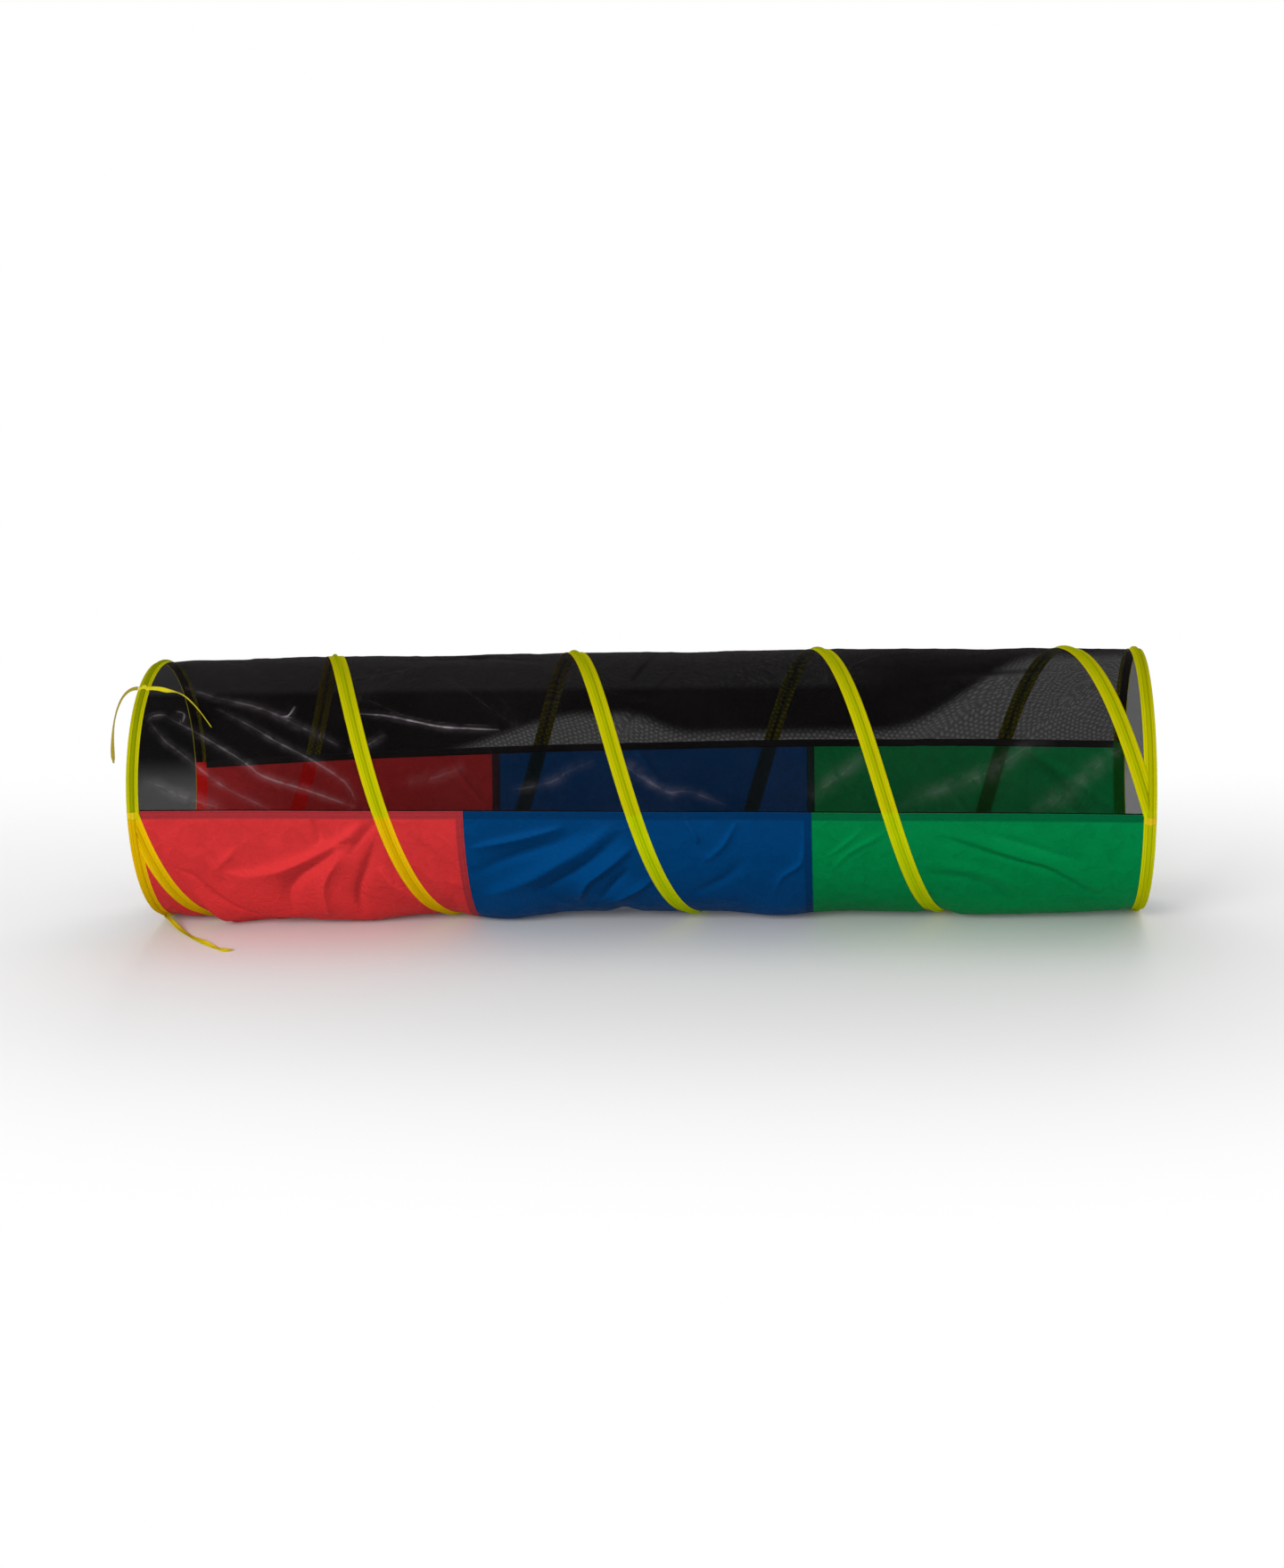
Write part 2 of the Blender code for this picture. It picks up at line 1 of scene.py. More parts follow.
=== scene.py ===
"""The looks of a child's pop-up crawl tunnel, dressed on its fixed frame.

Metres, +Z up, X along the tunnel, -Y towards the viewer, the floor at zero
height. Places on the sleeve are given as (along, turn): metres along X, and
degrees past the near side, downwards, so that 0 is the near side, 90 the
bottom, 180 the far side and 270 the top.

Each soft piece is laid out flat and then rolled round the sleeve, wound along
the coil, wrapped round a hoop or laid along a route.
"""

import enum
import logging
import math
import random
from dataclasses import dataclass
from typing import Callable

import bmesh
import bpy
import numpy as np
from mathutils import Matrix, Vector, noise


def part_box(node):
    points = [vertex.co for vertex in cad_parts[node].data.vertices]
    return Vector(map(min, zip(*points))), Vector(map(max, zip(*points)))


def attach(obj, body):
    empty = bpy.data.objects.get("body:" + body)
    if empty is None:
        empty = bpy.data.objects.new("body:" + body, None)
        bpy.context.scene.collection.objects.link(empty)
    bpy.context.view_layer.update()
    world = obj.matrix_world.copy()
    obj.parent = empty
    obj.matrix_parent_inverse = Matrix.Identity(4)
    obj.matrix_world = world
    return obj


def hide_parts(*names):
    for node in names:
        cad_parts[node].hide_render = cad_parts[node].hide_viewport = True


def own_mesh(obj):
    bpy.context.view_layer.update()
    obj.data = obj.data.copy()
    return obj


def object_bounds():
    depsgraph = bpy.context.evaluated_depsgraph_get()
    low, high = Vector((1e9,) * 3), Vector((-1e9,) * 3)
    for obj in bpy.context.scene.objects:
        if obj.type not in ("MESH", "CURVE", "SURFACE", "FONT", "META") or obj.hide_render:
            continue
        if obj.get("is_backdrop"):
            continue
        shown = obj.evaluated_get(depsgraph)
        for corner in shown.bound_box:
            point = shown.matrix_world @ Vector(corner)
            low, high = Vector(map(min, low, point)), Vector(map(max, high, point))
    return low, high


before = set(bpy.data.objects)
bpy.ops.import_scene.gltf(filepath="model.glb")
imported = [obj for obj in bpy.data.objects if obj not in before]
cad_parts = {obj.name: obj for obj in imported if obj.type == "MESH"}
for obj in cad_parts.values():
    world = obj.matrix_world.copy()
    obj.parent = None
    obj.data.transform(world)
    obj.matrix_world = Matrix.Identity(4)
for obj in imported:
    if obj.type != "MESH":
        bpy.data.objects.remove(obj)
CAD_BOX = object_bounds()

LOG = logging.getLogger("play_tunnel")

FULL_TURN = 360.0
HALF_TURN = 180.0
FULL_RELIEF = 0.008
FULL_TILT = 0.35
TILT_STEP = 0.001
# The direction, along X and round the sleeve, that the panels' painted fold highlight and shade are lit from.
PAINTED_LIGHT_FROM = (-0.5, -0.86)
# How far from a crease its painted sheen line reaches, in metres.
CREASE_SHEEN_REACH = 0.010
WELD_GAP = 0.00001
UV_NAME = "cloth"

Places = np.ndarray
Pair = tuple[float, float]
Triple = tuple[float, float, float]
Span = tuple[float, ...]
Shape = bmesh.types.BMesh
Piece = bpy.types.Object
Material = bpy.types.Material
Tree = bpy.types.NodeTree
Node = bpy.types.Node
Socket = bpy.types.NodeSocket
Sockets = bpy.types.bpy_prop_collection


class Bay(enum.Enum):
    """A third of the tunnel's length, with its floor panel."""

    RED = "red"
    BLUE = "blue"
    GREEN = "green"

    @property
    def node(self) -> str:
        """The panel's node in the frame."""
        return f"{self.value}_floor_panel"

    @property
    def body(self) -> str:
        """The body that the panel slides with."""
        return f"{self.value}_bay"

    @property
    def slot(self) -> str:
        """The record's material slot of the panel."""
        return f"{self.value}_cloth"


class End(enum.Enum):
    """One end of the tunnel; the value is the sign of its place along X."""

    LEFT = -1
    RIGHT = 1

    @property
    def label(self) -> str:
        """The name that pieces of this end start with."""
        return self.name.lower()

    @property
    def body(self) -> str:
        """The body that this end's pieces ride on."""
        return f"{self.label}_end"


@dataclass(frozen=True)
class Sleeve:
    """The round sleeve's own sizes, read from the frame, and places on it.

    Radii are those of the smooth round sleeve that lies inside the frame's facets.
    """

    axis: float
    ridge: float
    cloth: float
    end: float
    ring: float
    binding_width: float
    joint: float
    turns: int = 4
    fullness: float = 0.0075
    near_seam_bow: tuple[float, ...] = (-1.0, 3.0)
    far_seam_bow: tuple[float, ...] = (185.0, 3.0, -4.9)

    @classmethod
    def from_frame(cls) -> "Sleeve":
        """Reads the sleeve off the frame's boxes."""
        low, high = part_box("left_end_binding")
        axis = (low[2] + high[2]) / 2
        return cls(
            axis=axis,
            ridge=(high[2] - low[2]) / 2,
            cloth=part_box("mesh_roof")[1][2] - axis,
            end=-low[0],
            ring=-(low[0] + high[0]) / 2,
            binding_width=high[0] - low[0],
            joint=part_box(Bay.BLUE.node)[1][0],
        )

    @property
    def pitch(self) -> float:
        """How far the coil travels along X in one turn."""
        return 2 * self.ring / self.turns

    @property
    def slant(self) -> float:
        """The coil's slant from a plain ring, in radians."""
        return math.atan2(self.pitch, 2 * math.pi * self.cloth)

    @property
    def binding_edge(self) -> float:
        """How far from the middle the sleeve runs clear of the end bindings."""
        return self.end - self.binding_width

    def near_seam(self, along: Places) -> Places:
        """The turn of the near side seam at places along the tunnel."""
        return np.polynomial.polynomial.polyval(along, self.near_seam_bow)

    def far_seam(self, along: Places) -> Places:
        """The turn of the far side seam at places along the tunnel."""
        return np.polynomial.polynomial.polyval(along, self.far_seam_bow)

    def rise(self, along: Places, turn: Places) -> Places:
        """How much higher the sleeve stands between its hoops, where the turns are fuller."""
        share = np.clip(np.abs(along) / self.binding_edge, 0.0, 1.0)
        height = (1 - np.sin(np.radians(turn))) / 2
        return self.fullness * (1 - share**4) * height**2

    def places(self, along: Places, turn: Places, radius: Places) -> Places:
        """Points in space.

        Args:
            along: metres along X.
            turn: degrees past the near side, downwards.
            radius: metres from the tunnel's axis.

        Returns:
            One row of X, Y and Z for each place.
        """
        angle = np.radians(turn)
        across = -radius * np.cos(angle)
        height = self.axis - radius * np.sin(angle) + self.rise(along, turn)
        return np.stack(np.broadcast_arrays(along, across, height), axis=-1)

    def from_coil(self, along: Places, turn: Places) -> Places:
        """How far places lie from the nearest turn of the coil, in metres."""
        turned = (along + self.ring) / self.pitch - turn / FULL_TURN
        nearest = np.round(turned)
        total = nearest + turn / FULL_TURN
        gap = np.abs(turned - nearest) * self.pitch * math.cos(self.slant)
        return np.where((total >= 0) & (total <= self.turns), gap, self.pitch)

    def from_ends(self, along: Places) -> Places:
        """How far places lie from the nearer hoop, in metres."""
        return np.abs(self.ring - np.abs(along))


def shortest_turn(turn: Places) -> Places:
    """A difference of turns, in degrees, brought within half a turn either way."""
    return (turn + HALF_TURN) % FULL_TURN - HALF_TURN


def ease(value: Places, low: float, high: float) -> Places:
    """A smooth climb from 0 at low to 1 at high."""
    share = np.clip((value - low) / (high - low), 0.0, 1.0)
    return share * share * (3 - 2 * share)


def smooth_curve(points: Places, steps: int) -> Places:
    """A smooth curve through points, with some steps from each point to the next."""
    padded = np.vstack((points[:1], points, points[-1:]))
    share = (np.arange(steps) / steps)[:, None]
    rows = []
    for a, b, c, d in zip(padded, padded[1:], padded[2:], padded[3:]):
        bent = (2 * a - 5 * b + 4 * c - d) * share**2 + (3 * b - a - 3 * c + d) * share**3
        rows.append((2 * b + (c - a) * share + bent) / 2)
    return np.vstack(rows + [points[-1:]])


def fading(share: Places) -> Places:
    """A strength that fades out towards both ends of a line."""
    return np.sin(np.pi * np.clip(share, 0.0, 1.0)) ** 0.6


Line = tuple[Pair, ...]


def beside(line: Line, margin: float, along: Places) -> Places:
    """Which places lie within a line's span along X and a margin past it."""
    stops = [place[0] for place in line]
    return (along > min(stops) - margin) & (along < max(stops) + margin)


@dataclass(frozen=True)
class Fold:
    """A fold in the cloth, along listed (along, turn) places.

    A positive height stands out of the sleeve and a negative one goes in.
    A low softness gives a crisp fold, and a high one a round roll. The lean
    makes it steeper on the right of its line, seen from its first place to its
    last, and gentler on the left.
    """

    height: float
    width: float
    places: Line
    softness: float = 0.15
    lean: float = 0.0


@dataclass(frozen=True)
class Crease:
    """A crease in the net, along listed (along, turn) places, with a painted sheen along it.

    The shine is the painted sheen of its sharp line. The glow is the painted
    sheen of the paler net round it, which fades over the reach. The height and
    width are those of the low sharp fold that it stands on.
    """

    shine: float
    glow: float
    reach: float
    places: Line
    height: float = 0.0030
    width: float = 0.0045

    def fold(self) -> Fold:
        """The low sharp fold that the crease stands on."""
        return Fold(self.height, self.width, self.places)


@dataclass(frozen=True)
class Swell:
    """A broad round bulge or dip in the cloth round one (along, turn) place."""

    height: float
    place: Pair
    length: float
    breadth: float


# Each fold gives its height and width, its places, its softness and its lean.
RED_FOLDS = (
    Fold(-0.0050, 0.006, ((-0.834, 23), (-0.792, 30), (-0.755, 43), (-0.712, 56), (-0.66, 66))),
    Fold(0.0105, 0.024, ((-0.47, 1), (-0.528, 12), (-0.617, 23), (-0.687, 27.5), (-0.74, 27)), 0.15, 0.5),
    Fold(-0.0090, 0.018, ((-0.50, 10), (-0.56, 21.5), (-0.605, 31), (-0.63, 42), (-0.632, 58)), 0.3, -0.4),
    Fold(0.0090, 0.013, ((-0.52, 12), (-0.532, 20), (-0.563, 33.5), (-0.569, 58)), 0.15, 0.3),
    Fold(-0.0070, 0.012, ((-0.452, 8), (-0.483, 26.5), (-0.502, 40), (-0.511, 60)), 0.3, 0.3),
    Fold(-0.0050, 0.010, ((-0.448, 0.5), (-0.471, 6.5), (-0.51, 18)), 0.3),
    Fold(0.0064, 0.008, ((-0.455, 24), (-0.439, 34), (-0.412, 42.5), (-0.39, 52)), 0.12),
    Fold(-0.0032, 0.008, ((-0.775, 11.5), (-0.74, 26), (-0.727, 34.5))),
    Fold(0.0036, 0.010, ((-0.705, 13), (-0.737, 21), (-0.752, 26)), 0.2),
    Fold(-0.0036, 0.009, ((-0.565, 1), (-0.56, 6), (-0.558, 13)), 0.3),
    Fold(-0.0064, 0.014, ((-0.79, 70), (-0.72, 66), (-0.63, 72)), 0.3),
    Fold(-0.0040, 0.014, ((-0.40, 8), (-0.35, 20), (-0.33, 34)), 0.3),
    Fold(0.0036, 0.012, ((-0.41, 20), (-0.36, 32), (-0.34, 46)), 0.3),
)
BLUE_FOLDS = (
    Fold(0.0062, 0.009, ((-0.12, 5), (-0.155, 7.5), (-0.203, 10.5), (-0.27, 14), (-0.292, 15.5)), 0.15, 0.3),
    Fold(-0.0046, 0.014, ((-0.087, 6), (-0.147, 13.5), (-0.218, 20), (-0.275, 26.5), (-0.295, 30)), 0.5),
    Fold(0.0100, 0.022, ((-0.03, 4), (-0.086, 14.5), (-0.136, 22), (-0.194, 31.5), (-0.276, 43)), 0.25, 0.3),
    Fold(-0.0052, 0.013, ((-0.013, 6.5), (-0.058, 17), (-0.11, 28.5), (-0.185, 41.5)), 0.3),
    Fold(0.0092, 0.013, ((0.0, 14), (-0.052, 25.5), (-0.091, 35), (-0.109, 49)), 0.15, -0.35),
    Fold(-0.0050, 0.010, ((-0.01, 26), (-0.04, 36), (-0.068, 48)), 0.3),
    Fold(0.0080, 0.010, ((0.04, 31), (-0.016, 43), (-0.05, 53)), 0.15, -0.3),
    Fold(0.0062, 0.0045, ((0.088, 1), (0.106, 9), (0.112, 13.5))),
    Fold(0.0038, 0.007, ((0.185, 3), (0.173, 7), (0.154, 15), (0.118, 23.5)), 0.2),
    Fold(0.0038, 0.007, ((0.298, 8), (0.291, 23.5), (0.256, 32), (0.241, 44))),
    Fold(-0.0040, 0.014, ((0.20, 20), (0.15, 34), (0.09, 44)), 0.4),
)
GREEN_FOLDS = (
    Fold(0.0060, 0.022, ((0.53, 8), (0.614, 16), (0.673, 21.5), (0.732, 27), (0.815, 44)), 0.5, 0.4),
    Fold(-0.0056, 0.009, ((0.53, 11), (0.614, 19), (0.673, 24.5), (0.732, 30.5), (0.815, 48)), 0.4),
    Fold(-0.0034, 0.009, ((0.60, 8.5), (0.696, 16.5), (0.785, 24.5)), 0.4),
    Fold(-0.0034, 0.013, ((0.47, 30), (0.565, 32.5), (0.617, 39.5), (0.675, 56)), 0.5),
    Fold(0.0036, 0.016, ((0.50, 24), (0.60, 29), (0.70, 42)), 0.5),
    Fold(0.0030, 0.006, ((0.445, 8), (0.374, 18.5), (0.34, 30)), 0.2),
    Fold(0.0026, 0.005, ((0.40, 7), (0.36, 16), (0.335, 21)), 0.2),
    Fold(-0.0030, 0.010, ((0.79, 10), (0.83, 22), (0.84, 36)), 0.3),
)
ROOF_FOLDS = (
    Fold(-0.0040, 0.0110, ((-0.45, -85), (-0.322, -89.5), (-0.229, -97), (-0.13, -100.5)), 0.3),
    Fold(-0.0040, 0.0110, ((-0.48, -100.5), (-0.362, -97.5), (-0.255, -87), (-0.154, -79)), 0.3),
    Fold(-0.0036, 0.0120, ((0.46, -62), (0.60, -66), (0.76, -68)), 0.6),
)
# Each crease gives its shine and its glow, the strengths of its painted sheen, then its reach and its places.
NET_CREASES = (
    Crease(
        0.20, 0.46, 0.008,
        ((-0.823, -65), (-0.766, -57.5), (-0.708, -52.5), (-0.662, -48.5), (-0.595, -40), (-0.511, -29.5)),
    ),
    Crease(
        0.30, 0.42, 0.007,
        ((-0.748, -50), (-0.679, -40), (-0.626, -32), (-0.574, -25.5), (-0.507, -15), (-0.487, -6)),
    ),
    Crease(
        0.34, 0.50, 0.007,
        ((-0.841, -47), (-0.749, -33.5), (-0.687, -24), (-0.65, -17.5), (-0.573, -11.5), (-0.487, -4)),
    ),
    Crease(
        0.22, 0.44, 0.007,
        ((-0.868, -45), (-0.834, -34.5), (-0.802, -28.5), (-0.738, -16), (-0.70, -10.5), (-0.642, -3.5)),
    ),
    Crease(0.10, 0.50, 0.012, ((-0.873, -17.5), (-0.844, -15), (-0.81, -11), (-0.759, -6.5), (-0.718, -3.5))),
    Crease(0.90, 0.30, 0.005, ((-0.63, -44), (-0.613, -44.8), (-0.604, -50))),
    Crease(0.50, 0.30, 0.005, ((-0.82, -49), (-0.803, -47), (-0.805, -42.5))),
    Crease(
        1.00, 0.50, 0.006,
        ((-0.495, -45.6), (-0.444, -44.3), (-0.395, -41.5), (-0.346, -38.7), (-0.299, -37.7), (-0.235, -37)),
    ),
    Crease(0.28, 0.40, 0.007, ((-0.872, -44), (-0.86, -46.6), (-0.835, -47))),
    Crease(0.12, 0.40, 0.008, ((-0.50, -27), (-0.468, -30.7), (-0.435, -35.5))),
    Crease(0.08, 0.24, 0.010, ((-0.405, -14), (-0.344, -16.5), (-0.29, -21.5))),
    Crease(0.10, 0.26, 0.009, ((-0.215, -10.5), (-0.142, -14), (-0.111, -18.5), (-0.065, -23))),
    Crease(0.12, 0.26, 0.008, ((-0.05, -27), (0.028, -13.5), (0.075, -8))),
    Crease(0.12, 0.26, 0.008, ((-0.01, -24), (0.052, -10), (0.10, -9.5), (0.165, -3))),
    Crease(0.06, 0.38, 0.013, ((0.305, -7), (0.363, -16), (0.41, -26))),
    Crease(0.06, 0.38, 0.014, ((0.455, -3), (0.526, -8.5), (0.621, -17), (0.676, -26.5), (0.73, -29.5))),
    Crease(0.06, 0.38, 0.014, ((0.685, -1), (0.749, -8), (0.804, -20), (0.85, -27.5))),
)
# Each swell gives its height, its place, its length along X and its breadth round the sleeve.
SWELLS = (
    Swell(0.0160, (-0.62, 66), 0.16, 0.11),
    Swell(0.0140, (-0.775, 66), 0.05, 0.10),
    Swell(-0.0050, (-0.63, 76), 0.03, 0.06),
    Swell(0.0060, (-0.50, 70), 0.05, 0.07),
    Swell(0.0140, (-0.25, 67), 0.07, 0.10),
    Swell(-0.0085, (-0.033, 77), 0.020, 0.07),
    Swell(0.0100, (0.245, 68), 0.07, 0.09),
    Swell(0.0100, (0.66, 68), 0.17, 0.09),
    Swell(0.0045, (-0.832, -84), 0.012, 0.02),
)


@dataclass(frozen=True)
class ClothLay:
    """How the cloth lies between the turns of the coil: its folds, swells and small crumples."""

    sleeve: Sleeve
    folds: tuple[Fold, ...]
    swells: tuple[Swell, ...]
    tape_reach: float = 0.0155
    tape_ramp: float = 0.026
    saddle: float = 0.0018
    floor_clearance: float = 0.0012
    line_steps: int = 3
    fold_reach: float = 7.0
    least_depth: float = 0.5

    @classmethod
    def dressed(cls, sleeve: Sleeve) -> "ClothLay":
        """The lay with the folds of the near side and seeded ones where the sleeve turns away."""
        drawn = RED_FOLDS + BLUE_FOLDS + GREEN_FOLDS + ROOF_FOLDS
        creased = tuple(crease.fold() for crease in NET_CREASES)
        return cls(sleeve, drawn + creased + hidden_folds(sleeve), SWELLS)

    def arc(self, turn: Places) -> Places:
        """The length of cloth round the sleeve that a turn in degrees takes, in metres."""
        return turn * (math.radians(1.0) * self.sleeve.cloth)

    def trace(self, line: Line, along: Places, turn: Places) -> tuple[Places, Places]:
        """Measures places against a smooth line on the sleeve.

        Args:
            line: the line's (along, turn) places.
            along: metres along X.
            turn: degrees past the near side.

        Returns:
            How far each place lies from the line, positive on its right and
            negative on its left, and the share of the line passed there.
        """
        stops = smooth_curve(np.array(line), self.line_steps)
        points = np.stack((stops[:, 0], self.arc(stops[:, 1])), axis=-1)
        lengths = np.linalg.norm(np.diff(points, axis=0), axis=1)
        nearest = np.full(along.shape, np.inf)
        side = np.ones(along.shape)
        share = np.zeros(along.shape)
        passed = 0.0
        for stop, start, end, length in zip(stops, points, points[1:], lengths):
            step = (end - start) / length
            past, below = along - stop[0], self.arc(shortest_turn(turn - stop[1]))
            run = np.clip(past * step[0] + below * step[1], 0.0, length)
            off = np.hypot(past - run * step[0], below - run * step[1])
            closer = off < nearest
            nearest = np.where(closer, off, nearest)
            side = np.where(closer, np.sign(below * step[0] - past * step[1]), side)
            share = np.where(closer, passed + run, share)
            passed += length
        return nearest * side, share / lengths.sum()

    def rise_of(self, fold: Fold, along: Places, turn: Places) -> Places:
        """The offset that one fold gives, fading out to both its ends."""
        near = beside(fold.places, self.fold_reach * fold.width, along)
        off, share = self.trace(fold.places, along[near], turn[near])
        reach = np.abs(off) / (fold.width * (1 - fold.lean * np.sign(off)))
        profile = np.exp(-(np.sqrt(reach**2 + fold.softness**2) - fold.softness) * (1 + fold.softness))
        rise = np.zeros(along.shape)
        rise[near] = fold.height * profile * fading(share)
        return rise

    def relief(self, along: Places, turn: Places) -> Places:
        """The offset that the folds and swells give, before the tapes hold the cloth down."""
        total = np.zeros(along.shape)
        for fold in self.folds:
            total += self.rise_of(fold, along, turn)
        for swell in self.swells:
            off_along = (along - swell.place[0]) / swell.length
            off_arc = self.arc(shortest_turn(turn - swell.place[1])) / swell.breadth
            total += swell.height * np.exp(-(off_along**2) - off_arc**2)
        return total

    def tilt(self, along: Places, turn: Places) -> Places:
        """How steeply the cloth faces the painted light of the near side, positive towards it."""
        ahead = TILT_STEP * PAINTED_LIGHT_FROM[0]
        below = TILT_STEP * PAINTED_LIGHT_FROM[1] / float(self.arc(1.0))
        up = self.relief(along + ahead, turn + below)
        down = self.relief(along - ahead, turn - below)
        return (down - up) / (2 * TILT_STEP)

    def painted_crease_sheen(self, creases: tuple[Crease, ...], along: Places, turn: Places) -> dict[str, Places]:
        """Where the painted sheen of a net's creases lies.

        Args:
            creases: the creases.
            along: metres along X.
            turn: degrees past the near side.

        Returns:
            How far each place lies from the nearest crease, the painted sheen of
            that one's line, and the painted glow of them all, by the names of their attributes.
        """
        nearest = np.full(along.shape, CREASE_SHEEN_REACH)
        shine = np.zeros(along.shape)
        glow = np.zeros(along.shape)
        for crease in creases:
            near = beside(crease.places, 3 * crease.reach, along)
            off, share = self.trace(crease.places, along[near], turn[near])
            glow[near] += crease.glow * np.exp(-((off / crease.reach) ** 2)) * fading(share)
            closer = np.abs(off) < np.abs(nearest[near])
            shine[near] = np.where(closer, crease.shine * fading(share), shine[near])
            nearest[near] = np.where(closer, off, nearest[near])
        shine *= 1 - ease(np.abs(nearest), CREASE_SHEEN_REACH / 2, CREASE_SHEEN_REACH)
        return {"crease_line": nearest, "crease_shine": shine, "crease_glow": glow}

    def offset(self, along: Places, turn: Places) -> Places:
        """How far the cloth lies outside the plain round sleeve.

        Args:
            along: metres along X.
            turn: degrees past the near side.

        Returns:
            The offset of each place in metres, positive outwards.
        """
        sleeve = self.sleeve
        total = self.relief(along, turn)
        total += crumple(sleeve.places(along, turn, np.full(along.shape, sleeve.cloth)))
        gap = np.minimum(sleeve.from_coil(along, turn), sleeve.from_ends(along))
        free = ease(gap, self.tape_reach, self.tape_reach + self.tape_ramp)
        sag = -self.saddle * ease(gap, self.tape_reach, sleeve.pitch / 2)
        lifted = sleeve.cloth + total * free + sag
        height = sleeve.axis - lifted * np.sin(np.radians(turn))
        low = height < self.floor_clearance
        # Only places near the bottom are low, so the limit just keeps the others from dividing by zero.
        depth = np.maximum(np.sin(np.radians(turn)), self.least_depth)
        lifted = np.where(low, (sleeve.axis - self.floor_clearance) / depth, lifted)
        return lifted - sleeve.cloth


@dataclass(frozen=True)
class Scatter:
    """The ranges that lines on the hidden sides are drawn from.

    Turns, climbs and the bend are in degrees, and runs in metres along X.
    """

    seed: int
    count: int
    turns: Pair
    runs: Pair
    climbs: Pair
    bend: float

    def line(self, draw: random.Random, reach: float) -> Line:
        """Draws a bent line of three places, its middle one within a reach of the tunnel's middle."""
        along = draw.uniform(-reach, reach)
        turn = draw.uniform(*self.turns)
        run = draw.uniform(*self.runs)
        climb = draw.choice((-1, 1)) * draw.uniform(*self.climbs)
        bent = turn + draw.uniform(-self.bend, self.bend)
        return ((along - run, turn - climb), (along, bent), (along + run, turn + climb))


FOLD_SCATTER = Scatter(41, 46, (100.0, 255.0), (0.04, 0.14), (10.0, 34.0), 6.0)
FOLD_HEIGHTS = (0.0016, 0.0036)
FOLD_WIDTHS = (0.006, 0.015)
FOLD_SOFTNESS = (0.15, 0.4)
CREASE_SCATTER = Scatter(7, 18, (200.0, 252.0), (0.04, 0.12), (8.0, 26.0), 5.0)
CREASE_SHINES = (0.05, 0.20)
CREASE_GLOWS = (0.2, 0.4)
CREASE_REACH = 0.009


def hidden_folds(sleeve: Sleeve) -> tuple[Fold, ...]:
    """Folds of the sides that the viewer doesn't face, drawn alike on every run."""
    draw = random.Random(FOLD_SCATTER.seed)
    folds = []
    for _ in range(FOLD_SCATTER.count):
        places = FOLD_SCATTER.line(draw, sleeve.binding_edge)
        height = draw.choice((-1, 1)) * draw.uniform(*FOLD_HEIGHTS)
        folds.append(Fold(height, draw.uniform(*FOLD_WIDTHS), places, draw.uniform(*FOLD_SOFTNESS)))
    return tuple(folds)


def hidden_creases(sleeve: Sleeve) -> tuple[Crease, ...]:
    """Creases of the net's far side, with their painted sheen, drawn alike on every run."""
    draw = random.Random(CREASE_SCATTER.seed)
    creases = []
    for _ in range(CREASE_SCATTER.count):
        places = CREASE_SCATTER.line(draw, sleeve.binding_edge)
        shine = draw.uniform(*CREASE_SHINES)
        creases.append(Crease(shine, draw.uniform(*CREASE_GLOWS), CREASE_REACH, places))
    return tuple(creases)


# Crumples of three sizes: how many there are to a metre, and how high they stand.
BROAD_CRUMPLES = (9.0, 0.0016)
RIDGED_CRUMPLES = (19.0, 0.0007)
FINE_CRUMPLES = (55.0, 0.0003)
RIDGE_SHIFT = Vector((3.0, 1.0, 7.0))


def crumple(places: Places) -> Places:
    """Small irregular crumples all over the cloth, in metres."""
    (broads, broad_height), (ridges, ridge_height), (fines, fine_height) = (
        BROAD_CRUMPLES, RIDGED_CRUMPLES, FINE_CRUMPLES
    )
    offsets = np.empty(len(places))
    for index, place in enumerate(places.tolist()):
        spot = Vector(place)
        broad = noise.noise(spot * broads)
        ridge = 1 - 2 * abs(noise.noise(spot * ridges + RIDGE_SHIFT))
        fine = noise.noise(spot * fines)
        offsets[index] = broad_height * broad + ridge_height * ridge**3 + fine_height * fine
    return offsets


def new_piece(name: str, shape: Shape) -> Piece:
    """Closes a bmesh into a named object in the scene."""
    mesh = bpy.data.meshes.new(name)
    shape.to_mesh(mesh)
    shape.free()
    piece = bpy.data.objects.new(name, mesh)
    bpy.context.scene.collection.objects.link(piece)
    return piece


def flat_grid(columns: int, rows: int) -> Shape:
    """A flat unit grid, one corner at the origin, with a UV layer."""
    shape = bmesh.new()
    shape.loops.layers.uv.new(UV_NAME)
    bmesh.ops.create_grid(shape, x_segments=columns, y_segments=rows, size=0.5)
    bmesh.ops.translate(shape, verts=shape.verts, vec=(0.5, 0.5, 0.0))
    return shape


def read_places(mesh: bpy.types.Mesh) -> Places:
    """A mesh's vertices as rows of X, Y and Z."""
    flat = np.empty(len(mesh.vertices) * 3)
    mesh.vertices.foreach_get("co", flat)
    return flat.reshape(-1, 3)


def write_places(mesh: bpy.types.Mesh, places: Places) -> None:
    """Moves a mesh's vertices."""
    mesh.vertices.foreach_set("co", places.ravel())
    mesh.update()


def write_values(mesh: bpy.types.Mesh, name: str, values: Places) -> None:
    """Stores one number for each vertex as a named attribute."""
    mesh.attributes.new(name, "FLOAT", "POINT").data.foreach_set("value", values)


def write_uv(mesh: bpy.types.Mesh, plan: Places) -> None:
    """Stores a flat plan of the cloth, in metres, as the mesh's UV map."""
    corners = np.empty(len(mesh.loops), dtype=np.int64)
    mesh.loops.foreach_get("vertex_index", corners)
    layer = mesh.uv_layers[0] if mesh.uv_layers else mesh.uv_layers.new(name=UV_NAME)
    layer.uv.foreach_set("vector", plan[corners].ravel())


def settle(piece: Piece) -> None:
    """Makes a piece's modifiers part of its mesh."""
    graph = bpy.context.evaluated_depsgraph_get()
    mesh = bpy.data.meshes.new_from_object(piece.evaluated_get(graph))
    piece.modifiers.clear()
    plain = piece.data
    piece.data = mesh
    bpy.data.meshes.remove(plain)


